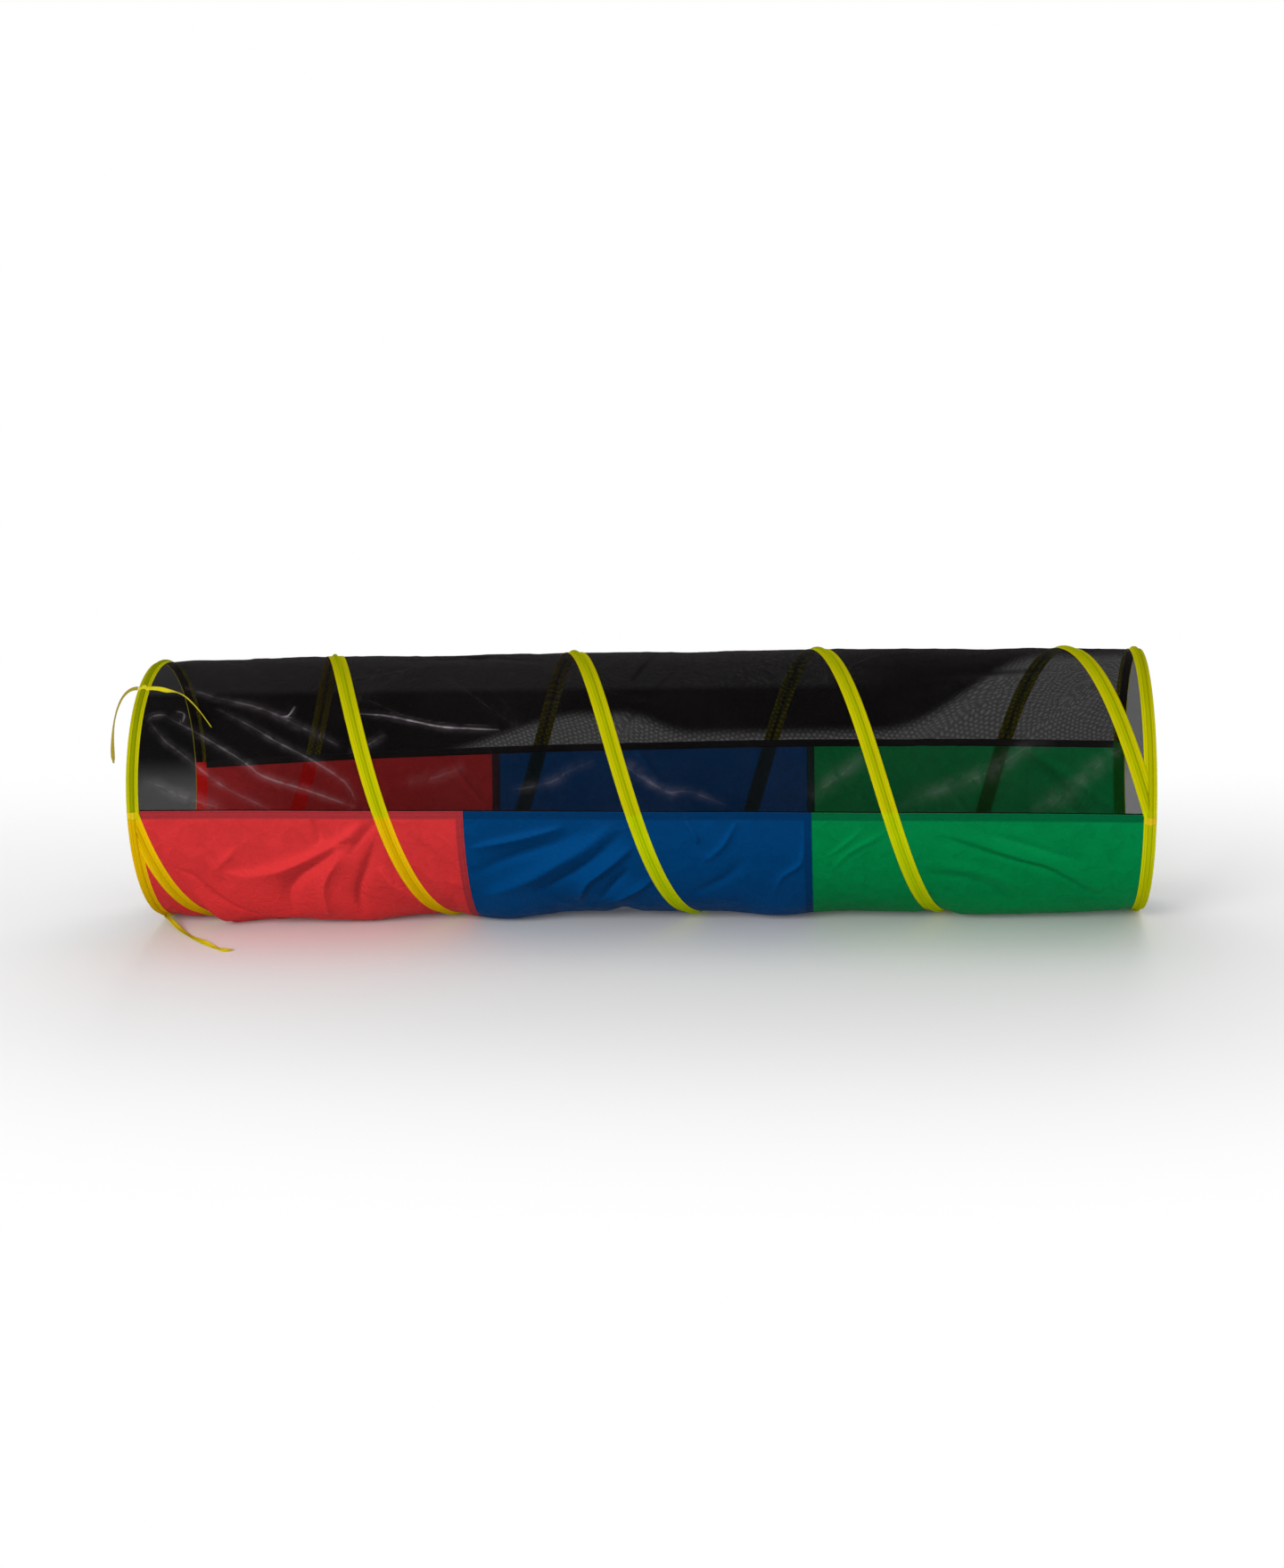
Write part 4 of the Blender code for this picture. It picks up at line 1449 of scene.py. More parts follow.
class Bench:
    """A node tree being laid out: adds nodes and joins their sockets."""

    def __init__(self, tree: Tree) -> None:
        """Takes the tree that the nodes go into."""
        self.tree = tree

    def feed(self, socket: Socket, value: object) -> None:
        """Links a socket into an input, or sets the input's own value."""
        if isinstance(value, Socket):
            self.tree.links.new(value, socket)
        else:
            socket.default_value = value

    def add(self, kind: str, inputs: dict[str | int, object] | None = None, **settings: object) -> Node:
        """Adds a node.

        Args:
            kind: the node's type, without its leading ShaderNode.
            inputs: what goes into its sockets, by name or number.
            settings: its own options.

        Returns:
            The node.
        """
        node = self.tree.nodes.new(f"ShaderNode{kind}")
        for name, value in settings.items():
            setattr(node, name, value)
        for name, value in (inputs or {}).items():
            self.feed(node.inputs[name], value)
        return node

    def sum(self, operation: str, *values: object) -> Socket:
        """The result of a Math node."""
        return self.add("Math", dict(enumerate(values)), operation=operation).outputs[0]

    def vector(self, operation: str, *values: object) -> Node:
        """A Vector Math node."""
        return self.add("VectorMath", dict(enumerate(values)), operation=operation)

    def climb(self, value: object, low: float, high: float, start: float = 0.0, end: float = 1.0) -> Socket:
        """A smooth climb from start to end as a value goes from low to high."""
        node = self.add(
            "MapRange",
            {"Value": value, "From Min": low, "From Max": high, "To Min": start, "To Max": end},
            interpolation_type="SMOOTHSTEP",
        )
        return node.outputs["Result"]

    def blend(self, factor: object, under: object, over: object) -> Socket:
        """A mix of two colours."""
        return self.add("Mix", {0: factor, 6: under, 7: over}, data_type="RGBA").outputs[2]

    def plan(self) -> Socket:
        """The flat plan of the cloth or tape, in metres."""
        return self.add("UVMap", uv_map=UV_NAME).outputs[0]

    def place(self) -> Socket:
        """The place in space of what is shaded, in metres."""
        return self.add("TexCoord").outputs["Object"]

    def split(self, vector: object) -> Sockets:
        """The X, Y and Z of a vector."""
        return self.add("SeparateXYZ", {0: vector}).outputs

    def stored(self, name: str) -> Socket:
        """A number that the mesh holds for each vertex."""
        return self.add("Attribute", attribute_name=name).outputs["Fac"]

    def bump(self, height: object, grain: Grain, under: object | None = None) -> Socket:
        """The normal of a fine relief, laid over another normal if there is one."""
        inputs = {"Height": height, "Strength": grain.strength, "Distance": grain.depth}
        if under is not None:
            inputs["Normal"] = under
        return self.add("Bump", inputs).outputs[0]

    def effect(self, group: Tree, inputs: dict[str, object]) -> Sockets:
        """Places a shared effect and gives its outputs."""
        node = self.tree.nodes.new("ShaderNodeGroup")
        node.node_tree = group
        for name, value in inputs.items():
            self.feed(node.inputs[name], value)
        return node.outputs


# Where the painted light or shade of a tape behind a panel fades out: off the coil, and past the binding's
# width, in metres.
COIL_BACKING = (0.0132, 0.0142)
BINDING_BACKING = (-0.0006, 0.0004)


class Effects:
    """Shader node groups that several finishes share, each built once."""

    def __init__(self, sleeve: Sleeve) -> None:
        """Builds the groups for a sleeve."""
        self.sleeve = sleeve
        self.backing = self.tape_backing()
        self.threads = self.woven_threads()
        self.crumples = self.crumpled_cloth()
        self.net = self.open_net()
        self.handling = self.handling_marks()

    def group(
        self, name: str, inputs: dict[str, str], outputs: tuple[str, ...]
    ) -> tuple[Tree, Bench, Sockets, Sockets]:
        """An empty group with its sockets.

        Args:
            name: the group's name.
            inputs: the kind of each input, Vector or Float.
            outputs: the names of its Float outputs.

        Returns:
            The group, a bench on it, and the sockets that it takes and gives.
        """
        tree = bpy.data.node_groups.new(name, "ShaderNodeTree")
        for label, kind in inputs.items():
            tree.interface.new_socket(name=label, in_out="INPUT", socket_type=f"NodeSocket{kind}")
        for label in outputs:
            tree.interface.new_socket(name=label, in_out="OUTPUT", socket_type="NodeSocketFloat")
        entry = tree.nodes.new("NodeGroupInput")
        leave = tree.nodes.new("NodeGroupOutput")
        return tree, Bench(tree), entry.outputs, leave.inputs

    def tape_backing(self) -> Tree:
        """Where a tape backs a floor panel from outside, as a mask on the panel's plan, for the light or
        shade that is painted on the panel there.
        """
        tree, bench, entry, leave = self.group("tape_backing", {"Plan": "Vector"}, ("Mask",))
        sleeve = self.sleeve
        start, slope = sleeve.near_seam_bow
        parts = bench.split(entry["Plan"])
        degrees = math.degrees(1.0 / sleeve.cloth)
        turn = bench.sum("MULTIPLY_ADD", parts[1], degrees, start)
        turn = bench.sum("MULTIPLY_ADD", parts[0], slope, turn)
        turned = bench.sum("DIVIDE", bench.sum("ADD", parts[0], sleeve.ring), sleeve.pitch)
        turned = bench.sum("SUBTRACT", turned, bench.sum("DIVIDE", turn, FULL_TURN))
        off = bench.sum("ABSOLUTE", bench.sum("SUBTRACT", turned, bench.sum("ROUND", turned)))
        gap = bench.sum("MULTIPLY", off, sleeve.pitch * math.cos(sleeve.slant))
        coil = bench.climb(gap, *COIL_BACKING, 1.0, 0.0)
        from_end = bench.sum("SUBTRACT", sleeve.end, bench.sum("ABSOLUTE", parts[0]))
        inner, outer = (sleeve.binding_width + shift for shift in BINDING_BACKING)
        ring = bench.climb(from_end, inner, outer, 1.0, 0.0)
        bench.feed(leave["Mask"], bench.sum("MAXIMUM", coil, ring))
        return tree

    def woven_threads(self) -> Tree:
        """A plain weave of a number of threads for each metre."""
        tree, bench, entry, leave = self.group(
            "woven_threads", {"Plan": "Vector", "Threads": "Float"}, ("Height",)
        )
        scaled = bench.add(
            "VectorMath",
            {0: entry["Plan"], "Scale": entry["Threads"]},
            operation="SCALE",
        )
        parts = bench.split(scaled.outputs[0])
        warp = bench.sum("SINE", bench.sum("MULTIPLY", parts[0], math.pi))
        weft = bench.sum("SINE", bench.sum("MULTIPLY", parts[1], math.pi))
        woven = bench.sum("MULTIPLY", warp, weft)
        bench.feed(leave["Height"], bench.sum("MULTIPLY_ADD", woven, 0.5, 0.5))
        return tree

    def crumpled_cloth(self) -> Tree:
        """Fine crisp crumples of thin cloth, as a height and as an uneven tone."""
        tree, bench, entry, leave = self.group(
            "crumpled_cloth", {"Place": "Vector", "Size": "Float"}, ("Height", "Tone")
        )
        soft = bench.add(
            "TexNoise",
            {
                "Vector": entry["Place"],
                "Scale": entry["Size"],
                "Detail": 3.0,
                "Roughness": 0.55,
                "Distortion": 0.7,
            },
        )
        ridge = bench.sum("ABSOLUTE", bench.sum("SUBTRACT", soft.outputs[0], 0.5))
        crisp = bench.climb(ridge, 0.0, 0.16, 1.0, 0.0)
        bench.feed(leave["Height"], crisp)
        bench.feed(leave["Tone"], bench.climb(soft.outputs[0], 0.3, 0.7))
        return tree

    def open_net(self) -> Tree:
        """A net of round holes in a triangular layout: 1 on its threads and 0 in its holes."""
        tree, bench, entry, leave = self.group(
            "open_net", {"Plan": "Vector", "Holes": "Float", "Hole": "Float"}, ("Thread",)
        )
        rise = math.sqrt(3)
        scaled = bench.add(
            "VectorMath",
            {0: entry["Plan"], "Scale": entry["Holes"]},
            operation="SCALE",
        )
        squared = bench.vector("MULTIPLY", scaled.outputs[0], (1.0, 1 / rise, 0.0))
        gaps = []
        for shift in (0.0, 0.5):
            moved = bench.vector("ADD", squared.outputs[0], (shift, shift, 0.0))
            cell = bench.vector("FRACTION", moved.outputs[0])
            centred = bench.vector("SUBTRACT", cell.outputs[0], (0.5, 0.5, 0.0))
            true = bench.vector("MULTIPLY", centred.outputs[0], (1.0, rise, 0.0))
            gaps.append(bench.vector("LENGTH", true.outputs[0]).outputs["Value"])
        nearest = bench.sum("MINIMUM", *gaps)
        past = bench.sum("SUBTRACT", nearest, entry["Hole"])
        bench.feed(leave["Thread"], bench.climb(past, -0.04, 0.04))
        return tree

    def handling_marks(self) -> Tree:
        """Broad soft patches where cloth has been handled, as a tone."""
        tree, bench, entry, leave = self.group("handling_marks", {"Place": "Vector"}, ("Tone",))
        patches = bench.add(
            "TexNoise",
            {
                "Vector": entry["Place"],
                "Scale": 6.5,
                "Detail": 4.0,
                "Roughness": 0.6,
                "Distortion": 0.4,
            },
        )
        bench.feed(leave["Tone"], bench.climb(patches.outputs[0], 0.35, 0.68))
        return tree


def new_material(name: str) -> tuple[Material, Bench, Node, Node]:
    """A material with its bench, Principled shader and output."""
    material = bpy.data.materials.new(name)
    material.use_nodes = True
    nodes = material.node_tree.nodes
    return material, Bench(material.node_tree), nodes["Principled BSDF"], nodes["Material Output"]


@dataclass(frozen=True)
class PanelFinish:
    """Thin coated cloth of one colour, a little see-through, with darker sewn edges.

    The gains and losses are shares of the cloth's own colour, painted on as highlight
    and shade: on raised and sunken folds, and on faces turned towards the light and away from it.
    """

    name: str
    cloth: Colour
    band: Colour
    # The cloth's colour with the painted light or shade of a tape behind it.
    painted_backing: Colour
    breadth: float
    sewn_end: float | None
    see_through: float
    contrast: float = 1.0
    roughness: float = 0.40
    roughness_spread: float = 0.05
    gloss: float = 0.02
    seam_band: float = 0.0142
    joint_band: float = 0.0130
    band_edge: float = 0.0008
    band_cover: float = 0.85
    # The strength and gain of the painted highlight along the panel's edges.
    edge_highlight_strength: float = 0.35
    edge_highlight_gain: float = 1.6
    crest_painted_highlight: float = 1.14
    valley_painted_shade: float = 0.86
    painted_highlight_gain: float = 0.26
    painted_shade_loss: float = 0.24
    handled: float = 0.25
    handled_loss: float = 0.86
    threads_each_metre: float = 2400.0
    crumple_size: float = 34.0
    crease_size: float = 95.0
    weave: Grain = Grain(0.25, 0.00015)
    crease: Grain = Grain(0.35, 0.0005)
    crumple: Grain = Grain(0.6, 0.0014)

    def folded(self, bench: Bench, tone: Socket) -> Socket:
        """The cloth's tone with painted highlight on the crests and lit faces of its folds, and painted shade
        on the others.
        """
        relief = bench.stored("relief")
        # Painted highlight on crests and painted shade in valleys.
        crest = bench.climb(relief, 0.05, 1.0)
        valley = bench.climb(relief, -0.05, -1.0)
        tone = bench.blend(crest, tone, shade(self.cloth, self.crest_painted_highlight))
        tone = bench.blend(valley, tone, shade(self.cloth, self.valley_painted_shade))
        # Painted highlight on faces turned towards the light, painted shade on those turned away.
        tilt = bench.stored("tilt")
        lit = shade(self.cloth, 1 + self.painted_highlight_gain * self.contrast)
        dark = shade(self.cloth, 1 - self.painted_shade_loss * self.contrast)
        tone = bench.blend(bench.climb(tilt, 0.04, 1.0), tone, lit)
        return bench.blend(bench.climb(tilt, -0.04, -1.0), tone, dark)

    def sewn(self, bench: Bench, parts: Sockets, tone: Socket) -> Socket:
        """The tone, darker over the strips inside, with a painted highlight along the very edges of the
        plan's parts.
        """
        near = bench.climb(parts[1], self.seam_band, self.seam_band + self.band_edge, 1.0, 0.0)
        inner = self.breadth - self.seam_band - self.band_edge
        far = bench.climb(parts[1], inner, self.breadth - self.seam_band)
        band = bench.sum("MAXIMUM", near, far)
        # A painted highlight along the edge at the near seam, where the hem's fold catches the light.
        edge_highlight = bench.climb(parts[1], 0.0008, 0.0014, self.edge_highlight_strength, 0.0)
        if self.sewn_end is not None:
            start = self.sewn_end - self.joint_band
            band = bench.sum("MAXIMUM", band, bench.climb(parts[0], start - self.band_edge, start))
            # A painted highlight along the joint's edge, where its fold catches the light.
            first, last = self.sewn_end - 0.0016, self.sewn_end - 0.0010
            edge = bench.climb(parts[0], first, last, 0.0, self.edge_highlight_strength)
            edge_highlight = bench.sum("MAXIMUM", edge_highlight, edge)
        shown = bench.blend(bench.sum("MULTIPLY", band, self.band_cover), tone, self.band)
        return bench.blend(edge_highlight, shown, shade(self.cloth, self.edge_highlight_gain))

    def material(self, effects: Effects) -> Material:
        """The finish as a material."""
        material, bench, shader, output = new_material(self.name)
        plan, place = bench.plan(), bench.place()
        crumples = bench.effect(effects.crumples, {"Place": place, "Size": self.crumple_size})
        creases = bench.effect(effects.crumples, {"Place": place, "Size": self.crease_size})
        marks = bench.effect(effects.handling, {"Place": place})
        woven = bench.effect(effects.threads, {"Plan": plan, "Threads": self.threads_each_metre})
        tone = bench.blend(crumples["Tone"], shade(self.cloth, 0.93), shade(self.cloth, 1.06))
        handled = bench.sum("MULTIPLY", marks["Tone"], self.handled)
        tone = bench.blend(handled, tone, shade(self.cloth, self.handled_loss))
        shown = self.sewn(bench, bench.split(plan), self.folded(bench, tone))
        # Painted light or shade where a tape lies behind the cloth: brighter red, darker blue and green.
        backing = bench.effect(effects.backing, {"Plan": plan})
        shown = bench.blend(backing["Mask"], shown, self.painted_backing)
        bench.feed(shader.inputs["Base Color"], shown)
        rough, smooth = self.roughness + self.roughness_spread, self.roughness - self.roughness_spread
        uneven = bench.climb(crumples["Tone"], 0.0, 1.0, rough, smooth)
        bench.feed(shader.inputs["Roughness"], uneven)
        shader.inputs["Specular IOR Level"].default_value = self.gloss
        normal = bench.bump(woven["Height"], self.weave)
        normal = bench.bump(creases["Height"], self.crease, normal)
        normal = bench.bump(crumples["Height"], self.crumple, normal)
        bench.feed(shader.inputs["Normal"], normal)
        passed = bench.add("Gamma", {"Color": shown, "Gamma": 0.5}).outputs[0]
        glow = bench.add("BsdfTranslucent", {"Color": passed, "Normal": normal})
        mixed = bench.add("MixShader", {0: self.see_through, 1: shader.outputs[0], 2: glow.outputs[0]})
        bench.feed(output.inputs["Surface"], mixed.outputs[0])
        return material


@dataclass(frozen=True)
class NetFinish:
    """Black knitted net that can be seen through.

    The covers are shares of what stands behind the net that it hides: in its
    holes, on its threads, at its hems, in gathered folds and on its creases, which also get a painted sheen.
    """

    name: str = "roof_net"
    thread: Colour = screen(11, 9, 9)
    # The sheen's colour: the shader's sheen tint, and the painted sheen highlight on the creases.
    sheen: Colour = screen(142, 134, 140)
    holes_each_metre: float = 1000.0
    hole: float = 0.332
    roughness: float = 0.40
    end: float = 0.9
    hem: float = 0.0150
    hem_fade: float = 0.0025
    nap: float = 0.10
    nap_roughness: float = 0.5
    crumple_size: float = 40.0
    crumple: Grain = Grain(0.5, 0.0012)
    core_half: Pair = (0.0004, 0.0024)
    glow_share: float = 0.36
    hole_cover: float = 0.16
    thread_cover: float = 0.90
    hem_cover: float = 0.94
    gathered_cover: float = 0.92
    core_cover: float = 0.5
    glow_cover: float = 0.30

    def creases(self, bench: Bench, crumpled: Socket) -> tuple[Socket, Socket]:
        """How strongly the painted sheen shows on the creases' sharp lines, and on the net round them."""
        line, shine, glow = (bench.stored(f"crease_{mark}") for mark in ("line", "shine", "glow"))
        uneven = bench.climb(crumpled, 0.1, 0.9, 0.35, 1.0)
        core = bench.climb(bench.sum("ABSOLUTE", line), *self.core_half, 1.0, 0.0)
        core = bench.sum("MULTIPLY", bench.sum("MULTIPLY", core, shine), uneven)
        return core, bench.sum("MULTIPLY", glow, uneven)

    def material(self, effects: Effects) -> Material:
        """The finish as a material."""
        material, bench, shader, _ = new_material(self.name)
        plan, place = bench.plan(), bench.place()
        net = bench.effect(effects.net, {"Plan": plan, "Holes": self.holes_each_metre, "Hole": self.hole})
        marks = bench.effect(effects.handling, {"Place": place})
        crumples = bench.effect(effects.crumples, {"Place": place, "Size": self.crumple_size})
        tone = bench.blend(marks["Tone"], shade(self.thread, 0.8), shade(self.thread, 1.5))
        core, glow = self.creases(bench, crumples["Tone"])
        # Painted sheen highlight along the creases.
        tone = bench.blend(bench.sum("MULTIPLY_ADD", glow, self.glow_share, core), tone, self.sheen)
        bench.feed(shader.inputs["Base Color"], tone)
        along = bench.sum("ABSOLUTE", bench.split(plan)[0])
        edge = self.end - self.hem
        hem = bench.climb(along, edge - self.hem_fade, edge + self.hem_fade, 0.0, self.hem_cover)
        cover = bench.climb(net["Thread"], 0.0, 1.0, self.hole_cover, self.thread_cover)
        gathered = bench.climb(bench.stored("relief"), -0.05, -0.5, 0.0, self.gathered_cover)
        # The net hides more along its creases, so that their painted sheen shows.
        creased_cover = bench.sum("MULTIPLY", glow, self.glow_cover)
        creased_cover = bench.sum("MULTIPLY_ADD", core, self.core_cover, creased_cover)
        closed = bench.sum("MAXIMUM", hem, bench.sum("MAXIMUM", gathered, creased_cover))
        bench.feed(shader.inputs["Alpha"], bench.sum("MAXIMUM", cover, closed))
        smooth, rough = self.roughness - 0.05, self.roughness + 0.07
        uneven = bench.climb(crumples["Tone"], 0.0, 1.0, smooth, rough)
        bench.feed(shader.inputs["Roughness"], uneven)
        shader.inputs["Specular IOR Level"].default_value = 0.0
        shader.inputs["Sheen Weight"].default_value = self.nap
        shader.inputs["Sheen Roughness"].default_value = self.nap_roughness
        shader.inputs["Sheen Tint"].default_value = self.sheen
        bench.feed(shader.inputs["Normal"], bench.bump(crumples["Height"], self.crumple))
        return material


@dataclass(frozen=True)
class TapeTones:
    """The colours of a tape at its flat edges and on its ridge, which is darker: a thin layer over the wire,
    with painted shade.
    """

    edge: Colour
    ridge: Colour


@dataclass(frozen=True)
class TapeFinish:
    """Ribbed yellow tape, plain over the net, with painted light from the cloth beneath it: warm over red
    cloth and cool over blue and green.
    """

    name: str
    plain: TapeTones
    warm_painted_light: TapeTones
    cool_painted_light: TapeTones
    axis: float
    red_joint: float
    ridge_half: float = 0.0045
    ridge_edge: float = 0.0008
    seam_edge: float = 0.004
    joint_edge: float = 0.01
    handled: float = 0.22
    handled_loss: float = 0.7
    stitch_gap: float = 0.0074
    stitch_half: Pair = (0.0003, 0.0010)
    stitch_loss: float = 0.62
    ribs_each_metre: float = 900.0
    rib_show: float = 0.10
    rib_loss: float = 0.6
    roughness: Pair = (0.55, 0.68)
    crumple_size: float = 120.0
    rib: Grain = Grain(0.35, 0.0002)
    crumple: Grain = Grain(0.3, 0.0005)

    def tinted(self, bench: Bench, place: Socket, across: Socket) -> Socket:
        """The tape's colour, by how high and how far along it lies and how near its ridge, with painted light
        from the cloth beneath it.
        """
        where = bench.split(place)
        half, joint = self.ridge_half, self.red_joint
        ridge = bench.climb(across, half - self.ridge_edge, half + self.ridge_edge, 1.0, 0.0)
        # Painted light from the cloth beneath: cool below the side seams, warm over the red panel.
        below = bench.climb(where[2], self.axis - self.seam_edge, self.axis + self.seam_edge, 1.0, 0.0)
        left = bench.climb(where[0], joint - self.joint_edge, joint + self.joint_edge, 1.0, 0.0)
        plain, cool_painted_light, warm_painted_light = (
            bench.blend(ridge, tones.edge, tones.ridge) for tones in (self.plain, self.cool_painted_light, self.warm_painted_light)
        )
        shown = bench.blend(below, plain, cool_painted_light)
        return bench.blend(bench.sum("MULTIPLY", below, left), shown, warm_painted_light)

    def material(self, effects: Effects) -> Material:
        """The finish as a material."""
        material, bench, shader, _ = new_material(self.name)
        place = bench.place()
        parts = bench.split(bench.plan())
        across = bench.sum("ABSOLUTE", parts[1])
        shown = self.tinted(bench, place, across)
        marks = bench.effect(effects.handling, {"Place": place})
        handled = bench.sum("MULTIPLY", marks["Tone"], self.handled)
        shown = bench.blend(handled, shown, shade(self.plain.ridge, self.handled_loss))
        groove = bench.sum("ABSOLUTE", bench.sum("SUBTRACT", across, self.stitch_gap))
        groove = bench.climb(groove, *self.stitch_half, 0.45, 0.0)
        shown = bench.blend(groove, shown, shade(self.plain.ridge, self.stitch_loss))
        rib = bench.sum("SINE", bench.sum("MULTIPLY", parts[0], 2 * math.pi * self.ribs_each_metre))
        rib = bench.sum("MULTIPLY_ADD", rib, 0.5, 0.5)
        ribbed = bench.sum("MULTIPLY", rib, self.rib_show)
        shown = bench.blend(ribbed, shown, shade(self.plain.ridge, self.rib_loss))
        bench.feed(shader.inputs["Base Color"], shown)
        bench.feed(shader.inputs["Roughness"], bench.climb(rib, 0.0, 1.0, *self.roughness))
        shader.inputs["Specular IOR Level"].default_value = 0.0
        crumples = bench.effect(effects.crumples, {"Place": place, "Size": self.crumple_size})
        ribs = bench.bump(rib, self.rib)
        bench.feed(shader.inputs["Normal"], bench.bump(crumples["Height"], self.crumple, ribs))
        return material


@dataclass(frozen=True)
class PlainFinish:
    """Thread, black tape and steel: one colour with an uneven tone and a fine grain."""

    name: str
    colour: Colour
    roughness: float
    metallic: float = 0.0
    grain: float = 260.0
    roughness_spread: float = 0.06
    gloss: float = 0.12
    relief: Grain = Grain(0.3, 0.0002)

    def material(self, effects: Effects) -> Material:
        """The finish as a material."""
        material, bench, shader, _ = new_material(self.name)
        place = bench.place()
        marks = bench.effect(effects.handling, {"Place": place})
        grain = bench.effect(effects.crumples, {"Place": place, "Size": self.grain})
        tone = bench.blend(marks["Tone"], shade(self.colour, 0.82), shade(self.colour, 1.15))
        bench.feed(shader.inputs["Base Color"], tone)
        shader.inputs["Specular IOR Level"].default_value = self.gloss
        shader.inputs["Metallic"].default_value = self.metallic
        smooth, rough = self.roughness - self.roughness_spread, self.roughness + self.roughness_spread
        bench.feed(shader.inputs["Roughness"], bench.climb(grain["Tone"], 0.0, 1.0, smooth, rough))
        bench.feed(shader.inputs["Normal"], bench.bump(grain["Height"], self.relief))
        return material


@dataclass(frozen=True)
class Lamp:
    """A soft rectangular lamp: its place and size in metres, and its power in watts."""

    name: str
    place: Triple
    size: Pair
    watts: float

    def hang(self, aim: Vector) -> None:
        """Hangs the lamp so that it points at a place."""
        light = bpy.data.lights.new(self.name, "AREA")
        light.shape = "RECTANGLE"
        light.size, light.size_y = self.size
        light.energy = self.watts
        lamp = bpy.data.objects.new(self.name, light)
        lamp.location = self.place
        lamp.rotation_euler = (aim - Vector(self.place)).to_track_quat("-Z", "Y").to_euler()
        bpy.context.scene.collection.objects.link(lamp)


LAMPS = (
    Lamp("key_lamp", (-1.6, -3.9, 1.9), (2.0, 1.4), 106.0),
    Lamp("front_fill", (1.6, -4.6, 0.8), (2.6, 1.2), 72.0),
    Lamp("top_lamp", (0.4, 0.8, 3.2), (3.4, 2.0), 16.0),
    Lamp("back_lamp", (0.2, 3.3, 1.2), (3.4, 1.2), 118.0),
)


